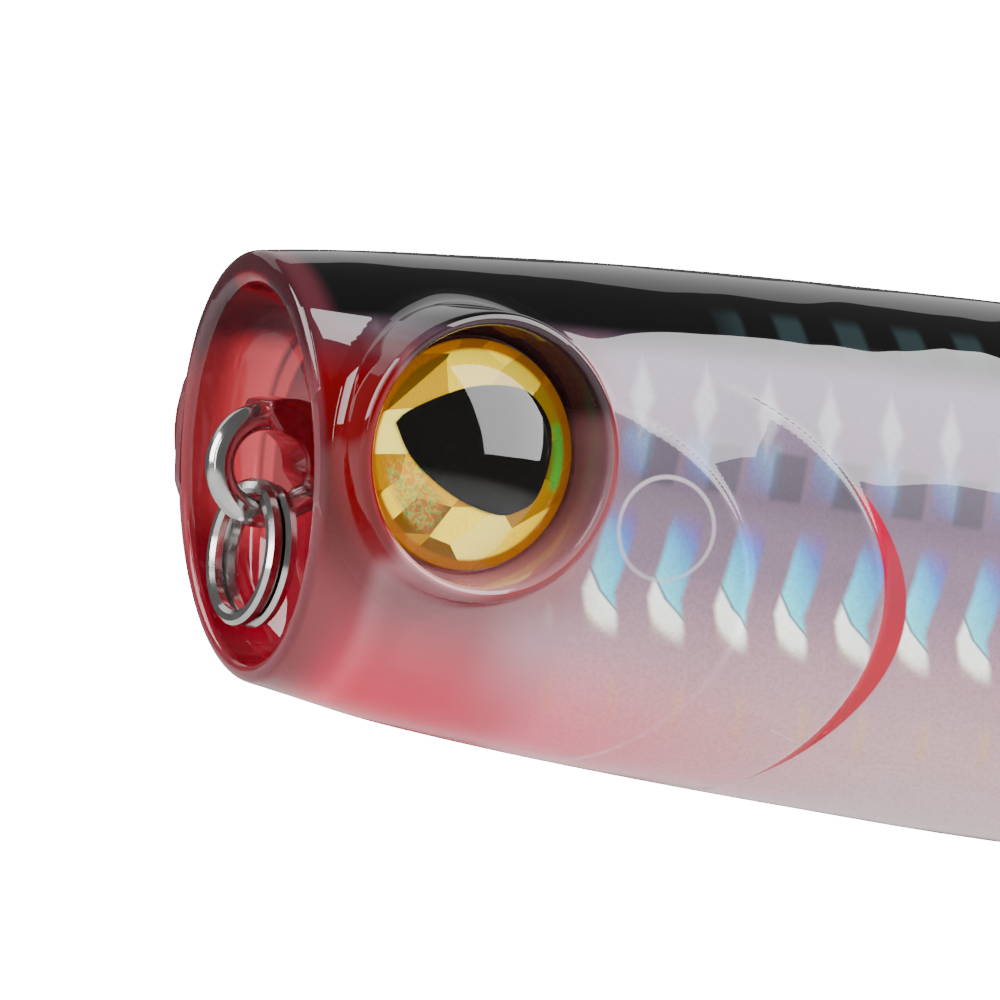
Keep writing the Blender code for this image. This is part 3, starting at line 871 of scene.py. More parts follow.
@dataclass(frozen=True)
class SkinPaint:
    """The lure's skin: clear tinted plastic at the nose, printed foil behind, and a black back."""

    name: str
    column: float = 4.28
    column_start: float = 15.36
    black_low: float = 0.62
    black_high: float = 0.76
    gill: tuple[float, float] = (20.5, -4.8)
    gill_radius: float = 16.0
    gill_squeeze: float = 0.865
    boss: tuple[float, float] = (21.0, -0.44)
    boss_radius: float = 3.1
    # Foil ground, paler downwards: partly the belly's own pale pearl, partly painted light standing in
    # for fill from below.
    foil_ground_painted_fill: Stops = (
        (0.0, (2.5, 1.7, 1.8)), (0.12, (2.1, 1.35, 1.4)), (0.3, (1.35, 0.80, 0.95)),
        (0.45, (0.62, 0.40, 0.58)), (0.6, (0.36, 0.25, 0.36)), (0.8, (0.40, 0.30, 0.44)))
    rainbow: Stops = (
        (0.0, (1.8, 1.3, 1.1)), (0.06, (3.9, 3.9, 3.2)), (0.185, (3.7, 4.1, 4.0)),
        (0.20, (0.35, 0.42, 0.48)), (0.215, (0.35, 2.5, 3.0)), (0.36, (0.16, 1.4, 2.3)),
        (0.47, (0.22, 0.45, 1.5)), (0.56, (0.42, 0.18, 0.9)), (0.66, (0.30, 0.25, 0.45)),
        (0.74, (0.25, 0.35, 0.85)), (0.84, (0.3, 0.65, 1.1)), (1.0, (0.5, 0.8, 1.1)))
    mouth: Stops = (
        (0.0, (0.50, 0.10, 0.14)), (0.12, (0.85, 0.005, 0.05)), (0.45, (0.75, 0.04, 0.07)),
        (0.68, (0.60, 0.08, 0.10)), (0.76, (0.18, 0.07, 0.09)), (1.0, (0.10, 0.055, 0.065)))

    def foil(self, p: SkinPoint) -> bpy.types.NodeSocket:
        """Return the foil's colour: leaning rainbow bars on lilac grey.

        Args:
            p: the point of the skin.
        Returns:
            The colour.
        """
        net, z = p.net, p.z
        lean_down = (z + 4.6).math("MINIMUM", 0.0) * 0.42
        lean_up = (z + 4.6).math("MAXIMUM", 0.0) * -0.13
        drift = (net.noise(0.12, 2.0) - 0.5) * 0.8
        place = ((p.x + lean_down + lean_up + drift - self.column_start) / self.column).math("FRACT")
        # The ground pales towards the belly, partly as painted fill light.
        base = net.ramp((z + 16.0) / 30.0, self.foil_ground_painted_fill)
        rainbow = net.ramp((z + (place - 0.5) * 4.6 + 7.4) / 14.4, self.rainbow)
        reach = (z.ramp_up(-7.6, -6.0) * z.ramp_up(1.2, -1.2)
                 + z.ramp_up(2.0, 3.0) * z.ramp_up(6.2, 4.4) * 0.6)
        broad = (net.noise(0.14, 2.0) * 0.8 + 0.55).math("MINIMUM", 1.0)
        color = net.mix(place.band(0.5, 0.17, 0.13) * reach * broad, base, rainbow)
        color = self.prints(p, place, color)
        grain = net.noise(4.0, 4.0).ramp_up(0.35, 0.7) * 0.35
        return net.mix(grain, color, net.mix(0.5, color, (0.2, 0.17, 0.22)))

    @staticmethod
    def prints(p: SkinPoint, place: Value, color: bpy.types.NodeSocket) -> bpy.types.NodeSocket:
        """Print the flecks, squares and diamonds between the bars.

        Args:
            p: the point of the skin.
            place: the point's share of the way from bar to bar.
            color: the foil's colour below.
        Returns:
            The printed colour.
        """
        net, z = p.net, p.z
        flecks = (place - 0.18).math("FRACT").band(0.5, 0.03, 0.1) * z.band(-11.3, 0.6, 1.2)
        color = net.mix(flecks * 0.6, color, (2.2, 1.4, 0.9))
        squares = (place + 0.6).math("FRACT").band(0.5, 0.2, 0.1) * z.band(3.6, 1.2, 0.5)
        color = net.mix(squares * 0.7, color, (0.16, 0.15, 0.19))
        diamond = (place - 0.5).math("ABSOLUTE") * 4.2 + (z - 7.2).math("ABSOLUTE") / 2.8
        return net.mix(diamond.ramp_up(1.15, 0.4) * 0.28, color, (1.6, 1.7, 1.8))

    def marks(self, p: SkinPoint, color: bpy.types.NodeSocket) -> bpy.types.NodeSocket:
        """Lay the red crescent of the gill, the pink throat and the ring of the boss over the foil.

        Args:
            p: the point of the skin.
            color: the foil's colour.
        Returns:
            The colour with its marks.
        """
        net, x, z = p.net, p.x, p.z
        out, up = x - self.gill[0], z - self.gill[1]
        over, under = up.math("MAXIMUM", 0.0) / self.gill_squeeze, up.math("MINIMUM", 0.0)
        arc = (out * out + over * over + under * under).math("SQRT") - self.gill_radius
        width = up.math("ABSOLUTE").ramp_up(13.5, 0.0) * 1.75
        crescent = (arc.ramp_up(-0.05, 0.10) * (arc - width).ramp_up(0.12, -0.05)
                    * x.ramp_up(20.5, 24.0) * z.ramp_up(4.2, 2.5) * z.ramp_up(-16.4, -15.2))
        red = net.mix(z.ramp_up(-8.0, -0.5), (1.3, 0.008, 0.06), (0.85, 0.002, 0.07))
        color = net.mix(crescent, color, red)
        color = net.mix(self.throat(p), color, (3.4, 0.10, 0.45))
        boss_x, boss_z = x - self.boss[0], z - self.boss[1]
        ring = ((boss_x * boss_x + boss_z * boss_z).math("SQRT") - self.boss_radius).math("ABSOLUTE")
        return net.mix(ring.ramp_up(0.2, 0.05) * 0.6, color, (1.5, 1.35, 1.45))

    def back(self, p: SkinPoint) -> bpy.types.NodeSocket:
        """Return the black of the back, with faint teal bars where it starts."""
        bars = ((p.x - self.column_start) / self.column).math("FRACT").band(0.5, 0.16, 0.12)
        share = bars * p.rise.band(0.78, 0.04, 0.05) * p.x.ramp_up(24.0, 28.0)
        return p.net.mix(share, (0.006, 0.005, 0.006), (0.03, 0.055, 0.06))

    @staticmethod
    def throat(p: SkinPoint) -> Value:
        """Return how hot the pink of the throat is: strongest low on the nose, gone past the gills."""
        return p.rise.ramp_up(-0.42, -1.0) * p.x.ramp_up(44.0, 4.0)

    def nose(self, p: SkinPoint) -> bpy.types.NodeSocket:
        """Return the tint of the clear nose: red at the lip, mauve behind it, hot pink below.

        Args:
            p: the point of the skin.
        Returns:
            The colour, with the mouth's reds in the mouth.
        """
        net, z, rise, level = p.net, p.z, p.rise, p.level
        strip = net.mix(z.ramp_up(-7.5, -2.0), (0.44, 0.07, 0.09), (0.24, 0.0, 0.003))
        body = net.mix(level.ramp_up(1.9, 3.2), strip, (0.66, 0.27, 0.30))
        body = net.mix(p.x.ramp_up(10.0, 15.0) * rise.ramp_up(-0.3, -0.6), body, (1.00, 0.66, 0.76))
        body = net.mix(self.throat(p) * level.ramp_up(-0.5, 4.5), body, (2.0, 0.02, 0.15))
        body = net.mix(level.ramp_up(-1.0, -0.6), (0.31, 0.05, 0.07), body)
        body = net.mix(rise.ramp_up(0.42, 0.68), body, (0.10, 0.02, 0.03))
        return net.mix(p.cup, body, self.mouth_reds(p))

    def mouth_reds(self, p: SkinPoint) -> bpy.types.NodeSocket:
        """Return the colour of the mouth: red to dark upwards, with painted highlights as bright bows at
        its sides.

        Args:
            p: the point of the skin.
        Returns:
            The colour.
        """
        net, y, z = p.net, p.y, p.z
        mouth = net.ramp((z + 13.0) / 26.0, self.mouth)
        bow = (y * y + (z + 0.6) * (z + 0.6) * 0.62).math("SQRT")
        # Painted highlights: bright bows where a front lamp would glint on the mouth's curved wall.
        highlight_arcs = bow.band(8.1, 0.5, 0.35) + bow.band(6.9, 0.18, 0.25) * 0.6
        highlight_arcs = highlight_arcs * y.ramp_up(1.5, 3.0) * z.ramp_up(-6.0, -2.0) * z.ramp_up(8.5, 6.5)
        mouth = net.mix(highlight_arcs.math("MINIMUM", 1.0) * 0.75, mouth, (3.0, 0.26, 0.33))
        return net.mix(y.math("ABSOLUTE").ramp_up(2.6, 1.9), mouth, (0.50, 0.01, 0.03))

    def plastic(self, p: SkinPoint) -> bpy.types.NodeSocket:
        """Build the clear tinted plastic of the nose, cloudy at the lip and round the eyes.

        Args:
            p: the point of the skin.
        Returns:
            The shader.
        """
        net, level = p.net, p.level
        pigment = net.mix(p.wall, net.scaled(self.nose(p), 0.6), (0.17, 0.02, 0.025))
        pigment = net.mix(p.socket, pigment, (0.03, 0.012, 0.018))
        milk = net.principled(Base_Color=pigment, Roughness=0.3, Specular_IOR_Level=0.0)
        strip = level.ramp_up(-0.95, -0.6) * level.ramp_up(4.5, 2.6) * (1.0 - p.cup)
        cloudy = p.cup * -0.2 + 0.7 + strip * 0.25 + p.socket * 0.4 + p.wall * 0.4
        return net.blend(cloudy.math("MINIMUM", 0.97), net.clear((0.66, 0.22, 0.26), 0.02), milk)

    def material(self) -> bpy.types.Material:
        """Build the material."""
        net = Net(self.name)
        p = SkinPoint.read(net)
        black = (p.rise + (net.noise(0.1, 1.0) - 0.5) * 0.05).ramp_up(self.black_low, self.black_high)
        color = net.mix(black, self.marks(p, self.foil(p)), self.back(p))
        color = net.mix(p.wall, color, (0.50, 0.06, 0.075))
        color = net.mix(p.socket, color, (0.08, 0.035, 0.05))
        fine, slow = net.noise(5.0, 3.0), net.noise(0.08, 1.0)
        paint = net.principled(
            Base_Color=net.scaled(color, 0.34), Metallic=(1.0 - black) * 0.3 * (1.0 - p.wall),
            Roughness=fine * 0.15 + 0.4, Normal=net.bump(fine * 0.02 + slow * 1.2, 0.5, 0.001),
            Specular_IOR_Level=0.0)
        solid = p.x.ramp_up(14.0, 18.5).math("MAXIMUM", black * p.level.ramp_up(0.1, 1.6)) * (1.0 - p.cup)
        skin = net.blend(solid.math("MINIMUM", 1.0), self.plastic(p), paint)
        sags = slow * p.x.ramp_up(85.0, 50.0) * 0.9 + p.z.math("MINIMUM", 9.5) * 0.2
        return net.finish(net.lacquer(skin, net.bump(sags, 1.0, 0.001)))


# ================================================================ pieces

@dataclass
class Gill:
    """A raised gill plate edge: an arc that bulges towards the tail."""

    x: float
    z: float
    radius: float
    squeeze: float
    height: float = 0.38
    run: float = 2.4
    drop: float = 0.85

    def lift(self, x: np.ndarray, z: np.ndarray) -> np.ndarray:
        """Return how far the plate lifts the skin.

        Args:
            x: places along the lure, in millimetres.
            z: heights.
        Returns:
            The lift at each point, in millimetres.
        """
        out, up = x - self.x, z - self.z
        reach = np.hypot(out, np.where(up > 0, up / self.squeeze, up))
        angle = np.degrees(np.arctan2(up, out))
        inside = np.exp(-np.maximum(self.radius - reach, 0) / self.run)
        edge = 1 - smooth_step(reach, self.radius - self.drop / 2, self.radius + self.drop / 2)
        ends = smooth_step(angle, -112, -80) * (1 - smooth_step(angle, 62, 84))
        return self.height * inside * edge * ends


@dataclass
class BodySkin:
    """The lure's whole skin in one piece, from the mouth round the lip to the tail, with eye turrets."""

    form: BodyForm = BODY
    eye: EyeForm = EYE
    columns: int = 336
    gills: tuple[Gill, ...] = (Gill(14.2, -4.5, 13.0, 0.85), Gill(20.5, -4.8, 16.0, 0.865))
    cup_radii: Point = (5.6, 8.8, 11.3)
    turret_columns: int = 176
    turret_ring: tuple[tuple[float, float], ...] = (
        (7.05, 9.6), (7.12, 9.75), (7.25, 10.6), (7.5, 11.8), (7.68, 12.7), (7.76, 13.0),
        (7.9, 13.22), (8.1, 13.32), (8.32, 13.28), (8.5, 13.1), (8.6, 12.8))
    web_radius: float = 4.6
    web_hole: float = 2.0
    web_half: float = 1.9
    swivel_x: float = 66.0
    hole_radius: float = 3.7

    def lean(self, x: np.ndarray, z: np.ndarray) -> np.ndarray:
        """Shift points along X to slant the face, fading away down the body."""
        share = 1 - smooth_step(x, 0.0, 12.0)
        return x - math.tan(self.form.face_slant) * (z - self.form.face_z) * share

    def skin_y(self, x: np.ndarray, z: np.ndarray) -> np.ndarray:
        """Return the body's half width at places on its flank, in millimetres."""
        share = 1 - ((z - self.form.axis_z) / self.form.half_height(x)) ** 2
        return self.form.narrowing * self.form.half_height(x) * np.sqrt(np.clip(share, 0.0, 1.0))

    def rows(self) -> list[np.ndarray]:
        """Build the rows of the skin, from the cup's middle to the tail."""
        angle = np.linspace(0, math.tau, self.columns, endpoint=False)
        angle = angle + 0.15 * np.sin(2 * angle)
        sine, cosine = np.sin(angle), np.cos(angle)
        return self.mouth_rows(sine, cosine) + self.flank_rows(sine, cosine)

    def mouth_rows(self, sine: np.ndarray, cosine: np.ndarray) -> list[np.ndarray]:
        """Build the rows of the cup and of the rounded lip.

        Args:
            sine: the columns' sines, across the lure.
            cosine: their cosines, upwards.
        Returns:
            The rows, from the cup's middle outwards.
        """
        form = self.form
        depth, wide, tall = self.cup_radii
        rows = [np.array([[depth - 0.9, 0.0, form.face_z]])]
        for t in np.linspace(0.06, 1.0, 16):
            phi = t * math.pi / 2
            share, deep = math.sin(phi) ** (2 / 2.6), depth * math.cos(phi) ** (2 / 2.6)
            z = form.face_z + share * tall * cosine
            rows.append(np.stack([self.lean(deep - 0.5 + 0 * z, z), share * wide * sine, z], 1))
        for psi in np.linspace(math.pi, 0, 12)[1:]:
            share = 1 - (1 - math.cos(psi)) / 2
            out_x = -0.45 - 0.65 * math.sin(psi) ** 0.8
            h = float(form.half_height(np.array([out_x]))[0])
            z = (1 - share) * (form.face_z + tall * cosine) + share * (form.axis_z + h * cosine)
            y = ((1 - share) * wide + share * form.narrowing * h) * sine
            rows.append(np.stack([self.lean(out_x + 0 * z, z), y, z], 1))
        return rows

    def flank_rows(self, sine: np.ndarray, cosine: np.ndarray) -> list[np.ndarray]:
        """Build the rows of the flanks and of the tail's end.

        Args:
            sine: the columns' sines, across the lure.
            cosine: their cosines, upwards.
        Returns:
            The rows, from the lip to the tail.
        """
        form = self.form
        rows = []
        runs = ((-0.15, 13.5, 0.4), (13.5, 37.5, 0.2), (37.5, 138, 3.35))
        for x in np.concatenate([np.arange(*run) for run in runs]):
            h = float(form.half_height(np.array([x]))[0])
            y, z = form.narrowing * h * sine, form.axis_z + h * cosine
            place = self.lean(x + 0 * z, z)
            lift = sum(gill.lift(place, z) for gill in self.gills) * smooth_step(np.abs(sine), 0.12, 0.4)
            rows.append(np.stack([place, y + lift * sine, z + lift * cosine * form.narrowing], 1))
        for x, h in form.tail_end:
            rows.append(np.stack([x + 0 * sine, form.narrowing * h * sine, form.axis_z + h * cosine], 1))
        rows.append(np.array([[form.tail_end[-1][0], 0.0, form.axis_z]]))
        return rows

    def turret(self, side: Side) -> bpy.types.Object:
        """Build the raised ring round one eye, with its pocket and a rounded foot on the skin.

        Args:
            side: which eye.
        Returns:
            The ring as a closed solid.
        """
        eye = self.eye
        angle = np.linspace(0, math.tau, self.turret_columns, endpoint=False)
        cosine, sine = np.cos(angle), np.sin(angle)
        foot = np.array([self.turret_foot(c, s) for c, s in zip(cosine, sine)])
        rows = [np.array([[eye.x, side.value * eye.floor_y, eye.z]])]
        for reach, y in [*self.turret_ring, *foot.transpose(1, 2, 0)]:
            rows.append(np.stack([
                eye.x + reach * cosine, side.value * y + 0 * cosine, eye.z + reach * sine], 1))
        rows.append(np.array([[eye.x, side.value * 9.0, eye.z]]))
        return make_object(f"turret_{side.value}", tidy_mesh(mesh_from_rows("turret", rows)))

    def turret_foot(self, c: float, s: float) -> list[tuple[float, float]]:
        """Draw the foot that blends the ring round the eye into the skin, in one direction.

        Args:
            c: the direction's cosine, along the lure.
            s: its sine, upwards.
        Returns:
            Points as (distance from the eye's axis, distance from the middle plane).
        """
        eye, flare = self.eye, 0.06
        outer, rim = self.turret_ring[-1]

        def skin(reach: float) -> float:
            """Return the body's half width at a distance from the eye's axis."""
            return float(self.skin_y(np.array([eye.x + reach * c]), np.array([eye.z + reach * s]))[0])

        low = min(12.5, skin(8.75))
        tall = rim - low
        leg = min(1.3, 0.75 * tall)
        base = outer + flare * tall
        lip_x = -1.0 - math.tan(self.form.face_slant) * (eye.z + base * s - self.form.face_z)
        room = (eye.x + base * c - lip_x) / -c if c < -0.05 else 9.0
        end_reach = base + min(leg, max(room, 0.15))
        wall = np.array((outer + flare * (tall - leg), low + leg))
        corner, end = np.array((base, low)), np.array((end_reach, skin(end_reach) + 0.004))
        curve = [tuple((1 - t) ** 2 * wall + 2 * t * (1 - t) * corner + t * t * end)
                 for t in np.linspace(0, 1, 8)]
        buried = end_reach + 0.12
        curve += [(buried, skin(buried) - 0.05), (buried, skin(buried) - 0.8)]
        return curve + [(reach, min(9.3, skin(reach) - 0.8)) for reach in (8.3, 7.0)]

    def web(self) -> bpy.types.Object:
        """Build the round-nosed web in the mouth that grips the back of the tow loop."""
        outline = [(-1.0, 3.1)]
        tip, top = 104.9, 55.0
        for a in np.linspace(tip, top, 12):
            radius = self.web_radius - 0.7 * (a - top) / (tip - top)
            outline.append((radius * math.cos(math.radians(a)), radius * math.sin(math.radians(a))))
        outline += [(5.0, 4.4), (9.0, 4.4), (9.0, -2.0), (3.6, -1.8), (1.997, -0.096)]
        for a in np.linspace(-2.7, 89.0, 12)[1:]:
            radius = self.web_hole
            outline.append((radius * math.cos(math.radians(a)), radius * math.sin(math.radians(a))))
        work = bmesh.new()
        verts = [work.verts.new((x * MM, -self.web_half * MM, z * MM)) for x, z in outline]
        face = work.faces.new(verts)
        grown = bmesh.ops.extrude_face_region(work, geom=[face])
        moved = [item for item in grown["geom"] if isinstance(item, bmesh.types.BMVert)]
        bmesh.ops.translate(work, verts=moved, vec=(0.0, 2 * self.web_half * MM, 0.0))
        mesh = bpy.data.meshes.new("web")
        work.to_mesh(mesh)
        work.free()
        obj = make_object("web", tidy_mesh(mesh))
        bevel = obj.modifiers.new("bevel", "BEVEL")
        bevel.width = 1.15 * MM
        bevel.segments = 6
        bevel.limit_method = "ANGLE"
        apply_modifiers(obj)
        return obj

    def build(self, material: bpy.types.Material) -> None:
        """Build and dress the skin.

        Args:
            material: its finish.
        """
        skin = make_object("body_skin", tidy_mesh(mesh_from_rows("body_skin", self.rows())))
        for side in Side:
            turn = Matrix.Rotation(-side.value * math.pi / 2, 4, "X")
            place = Matrix.Translation((self.eye.x * MM, 0.0, self.eye.z * MM)) @ turn
            pocket = turned("pocket", ((0.0, 9.5), (8.3, 9.5), (8.3, 16.0), (0.0, 16.0)), 96, place)
            cut(skin, make_object("pocket", pocket))
            cut(skin, self.turret(side), "UNION")
        cut(skin, self.web(), "UNION")
        r, place = self.hole_radius, Matrix.Translation((self.swivel_x * MM, 0.0, 0.0))
        hole = turned("hole", ((0.0, -30.0), (r, -30.0), (r, -9.0), (0.0, -9.0)), 64, place)
        cut(skin, make_object("hole", hole))
        skin.data.shade_smooth()
        skin.data.set_sharp_from_angle(angle=math.radians(38))
        self.store_places(skin.data)
        dress(skin, material, "lure", "clear_red_plastic", "shell_left", "shell_right")

    def store_places(self, mesh: bpy.types.Mesh) -> None:
        """Store on the mesh how high each point stands on the body, and whether it is in the mouth.

        Args:
            mesh: the skin's mesh, which gains the numbers "rise" and "cup" at its points.
        """
        points = np.empty(len(mesh.vertices) * 3)
        mesh.vertices.foreach_get("co", points)
        x, y, z = (points.reshape(-1, 3) / MM).T
        height = self.form.half_height(x)
        rise = (z - self.form.axis_z) / height
        ellipse = np.hypot(y / (self.form.narrowing * height), rise)
        cup = 1 - smooth_step(ellipse, 0.90, 0.94)
        cup *= (x < 7.5) & (np.abs(y) < 9.3)
        for name, values in (("rise", rise), ("cup", cup)):
            attribute = mesh.attributes.new(name, "FLOAT", "POINT")
            attribute.data.foreach_set("value", values.astype(np.float32))


@dataclass
class Eyes:
    """The foil disc, the printed pupil and the clear dome in each pocket."""

    eye: EyeForm = EYE
    pupil: tuple[tuple[float, float], ...] = (
        (-5.17, 1.23), (-4.46, 2.01), (-2.33, 3.23), (-0.21, 4.07), (2.31, 4.35), (3.83, 3.79),
        (5.09, 2.19), (5.28, 0.07), (4.75, -2.02), (3.75, -2.9), (2.39, -3.32), (0.04, -2.85),
        (-2.09, -1.87), (-3.99, -0.48))

    def place(self, side: Side) -> Matrix:
        """Return the transform that stands a turned form in one eye, its top outwards."""
        turn = Matrix.Rotation(-side.value * math.pi / 2, 4, "X")
        return Matrix.Translation((self.eye.x * MM, 0.0, self.eye.z * MM)) @ turn

    def disc(self, side: Side) -> bpy.types.Object:
        """Build one foil disc with a rolled edge."""
        low, r = self.eye.floor_y + self.eye.gap, self.eye.disc_radius
        high = low + self.eye.disc_thickness
        profile = [(0.0, low), (r - 0.1, low), (r, low + 0.1), (r, high - 0.12), (r - 0.04, high - 0.03),
                   (r - 0.12, high), (r * 0.8, high), (r * 0.5, high), (0.0, high)]
        mesh = turned("eye_foil", profile, 128, self.place(side))
        return make_object(f"eye_foil_{side.name.lower()}", mesh)

    def dome(self, side: Side) -> bpy.types.Object:
        """Build one clear dome.

        Args:
            side: which eye.
        Returns:
            The dome.
        """
        low = self.eye.floor_y + 2 * self.eye.gap + self.eye.disc_thickness
        r, tall = self.eye.disc_radius, self.eye.dome_height
        curve = (r * r + tall * tall) / (2 * tall)
        sweep = math.asin(r / curve)
        profile = [(0.0, low), (r - 0.15, low), (r, low + 0.05)]
        for a in np.linspace(sweep, 0, 22)[1:]:
            profile.append((curve * math.sin(a), low + curve * math.cos(a) - (curve - tall)))
        mesh = turned("eye_lens", profile, 128, self.place(side))
        return make_object(f"eye_lens_{side.name.lower()}", mesh)

    def print_pupil(self, side: Side) -> bpy.types.Object:
        """Build the raised print of one pupil, a blunt drop that points forwards.

        Args:
            side: which eye.
        Returns:
            The print.
        """
        outline = curve_through([(a, 0.0, b) for a, b in (*self.pupil, self.pupil[0])], 0.35)[:-1]
        y = self.eye.floor_y + self.eye.gap + self.eye.disc_thickness
        rows = []
        for share, out in ((1.0, 0.02), (1.0, 0.10), (0.985, 0.13), (0.6, 0.14)):
            row = outline * share
            row[:, 0] += self.eye.x + (1 - share) * 0.3
            row[:, 2] += self.eye.z + (1 - share) * 0.5
            row[:, 1] = side.value * (y + out)
            rows.append(row)
        poles = [np.array([[self.eye.x, side.value * (y + out), self.eye.z + 0.5]])
                 for out in (0.02, 0.14)]
        mesh = mesh_from_rows("pupil", [poles[0], *rows, poles[1]])
        return make_object(f"eye_pupil_{side.name.lower()}", tidy_mesh(mesh))

    def build(self) -> None:
        """Build and dress both eyes."""
        gold = GoldShards("gold_shards").material()
        black = Pupil("pupil_print").material()
        resin = DomeResin("dome_resin").material()
        for side in Side:
            name = side.name.lower()
            dress(self.disc(side), gold, "lure", "gold_foil", f"eye_disc_{name}")
            dress(self.print_pupil(side), black, "lure", "gold_foil")
            dress(self.dome(side), resin, "lure", "clear_dome", f"eye_dome_{name}")


@dataclass
class ThroughWire:
    """The wire that runs through the lure, with a loop at each end."""

    radius: float = 0.87
    loop_radius: float = 2.93
    tail_x: float = 144.5

    def end(self, centre_x: float, side: int, returned: bool) -> list[Point]:
        """Return a wire end.

        Args:
            centre_x: the middle of its loop, in millimetres.
            side: 1 where the wire leaves towards the tail, -1 towards the nose.
            returned: whether it is the short return beside the shank, not the shank and the loop.
        Returns:
            The points.
        """
        if returned:
            run = [(2.85, 1.3), (3.6, 1.08), (4.6, 1.02), (8.0, 1.0)]
        else:
            run = [(10.0, -1.1), (7.5, -1.15), (5.6, -1.15), (4.2, -1.25), (3.1, -1.55),
                   (2.35, -1.98)]
            for degrees in range(-55, -326, -15):
                a = math.radians(degrees)
                run.append((self.loop_radius * math.cos(a), self.loop_radius * math.sin(a)))
        return [(centre_x + side * x, 0.0, z) for x, z in run]

    def build(self, steel: bpy.types.Material) -> None:
        """Build and dress the wire."""
        middle = [(13.0, -0.8), (16.5, -0.45), (21.0, -0.15), (27.0, 0.0), (60.0, 0.0), (90.0, 0.0),
                  (118.0, 0.0), (124.0, -0.15), (128.0, -0.45), (131.5, -0.8)]
        points = self.end(0.0, 1, True)[::-1] + self.end(0.0, 1, False)[::-1]
        points += [(x, 0.0, z) for x, z in middle]
        points += self.end(self.tail_x, -1, False) + self.end(self.tail_x, -1, True)
        path = curve_through(points, 0.45)
        wire = make_object("tow_wire", swept("tow_wire", path, np.full(len(path), self.radius), 28))
        dress(wire, steel, "lure", "stainless_steel", "through_wire")


@dataclass
class SplitRings:
    """Split rings: flattened wire in two turns that lie side by side."""

    radius: float = 4.0
    wire: float = 0.9
    corner: float = 0.24
    pitch: float = 1.0
    drop: float = 5.31
    belly: Point = (66.0, 0.0, -25.4)
    tail_x: float = 144.5

    def coil(self, steel: bpy.types.Material) -> bpy.types.Mesh:
        """Build one ring about the Z axis, with its ends and its crossing near +Y.

        Args:
            steel: its finish.
        Returns:
            The ring's mesh.
        """
        net = GeometryNet("split_ring_coil", {
            "Radius": self.radius * MM, "Pitch": self.pitch * MM, "Start": math.radians(120),
            "Cross From": math.radians(420), "Cross To": math.radians(480), "End": math.radians(780)})
        line = net.node("GeometryNodeCurvePrimitiveLine", None, {"End": (1.0, 0.0, 0.0)})
        points = net.node("GeometryNodeResampleCurve", None, {"Curve": line.outputs[0], "Count": 150})
        share = net.node("GeometryNodeSplineParameter").outputs["Factor"]
        span = net.math("SUBTRACT", net.number("End"), net.number("Start"))
        angle = net.math("MULTIPLY_ADD", share, span, net.number("Start"))
        step = net.node("ShaderNodeMapRange", {"interpolation_type": "SMOOTHSTEP"}, {
            "Value": angle, "From Min": net.number("Cross From"), "From Max": net.number("Cross To"),
            "To Min": -0.5, "To Max": 0.5})
        place = net.node("ShaderNodeCombineXYZ", None, {
            0: net.math("MULTIPLY", net.number("Radius"), net.math("COSINE", angle)),
            1: net.math("MULTIPLY", net.number("Radius"), net.math("SINE", angle)),
            2: net.math("MULTIPLY", net.number("Pitch"), step.outputs[0])})
        coil = net.node("GeometryNodeSetPosition", None,
                        {"Geometry": points.outputs[0], "Position": place.outputs[0]})
        section = net.node("GeometryNodeCurvePrimitiveQuadrilateral", None,
                           {"Width": self.wire * MM, "Height": self.wire * 1.04 * MM})
        rounded = net.node("GeometryNodeFilletCurve", None,
                           {"Curve": section.outputs[0], "Radius": self.corner * MM})
        solid = net.node("GeometryNodeCurveToMesh", None, {
            "Curve": coil.outputs[0], "Profile Curve": rounded.outputs[0], "Fill Caps": True})
        return net.build("split_ring", solid.outputs[0], steel)

    def build(self, steel: bpy.types.Material) -> None:
        """Build and dress the three rings."""
        coil = self.coil(steel)
        about_x = Matrix(((0, 0, 1), (1, 0, 0), (0, 1, 0))).to_4x4()
        about_y = Matrix(((1, 0, 0), (0, 0, 1), (0, 1, 0))).to_4x4()
        places = (("line", (0.0, 0.0, -self.drop), about_x), ("belly", self.belly, about_y),
                  ("tail", (self.tail_x, 0.0, -self.drop), about_x))
        for name, spot, turn in places:
            mesh = coil.copy()
            mesh.transform(Matrix.Translation(Vector(spot) * MM) @ turn)
            ring = make_object(f"{name}_coil_ring", tidy_mesh(mesh))
            dress(ring, steel, f"{name}_ring", "stainless_steel", f"{name}_split_ring")


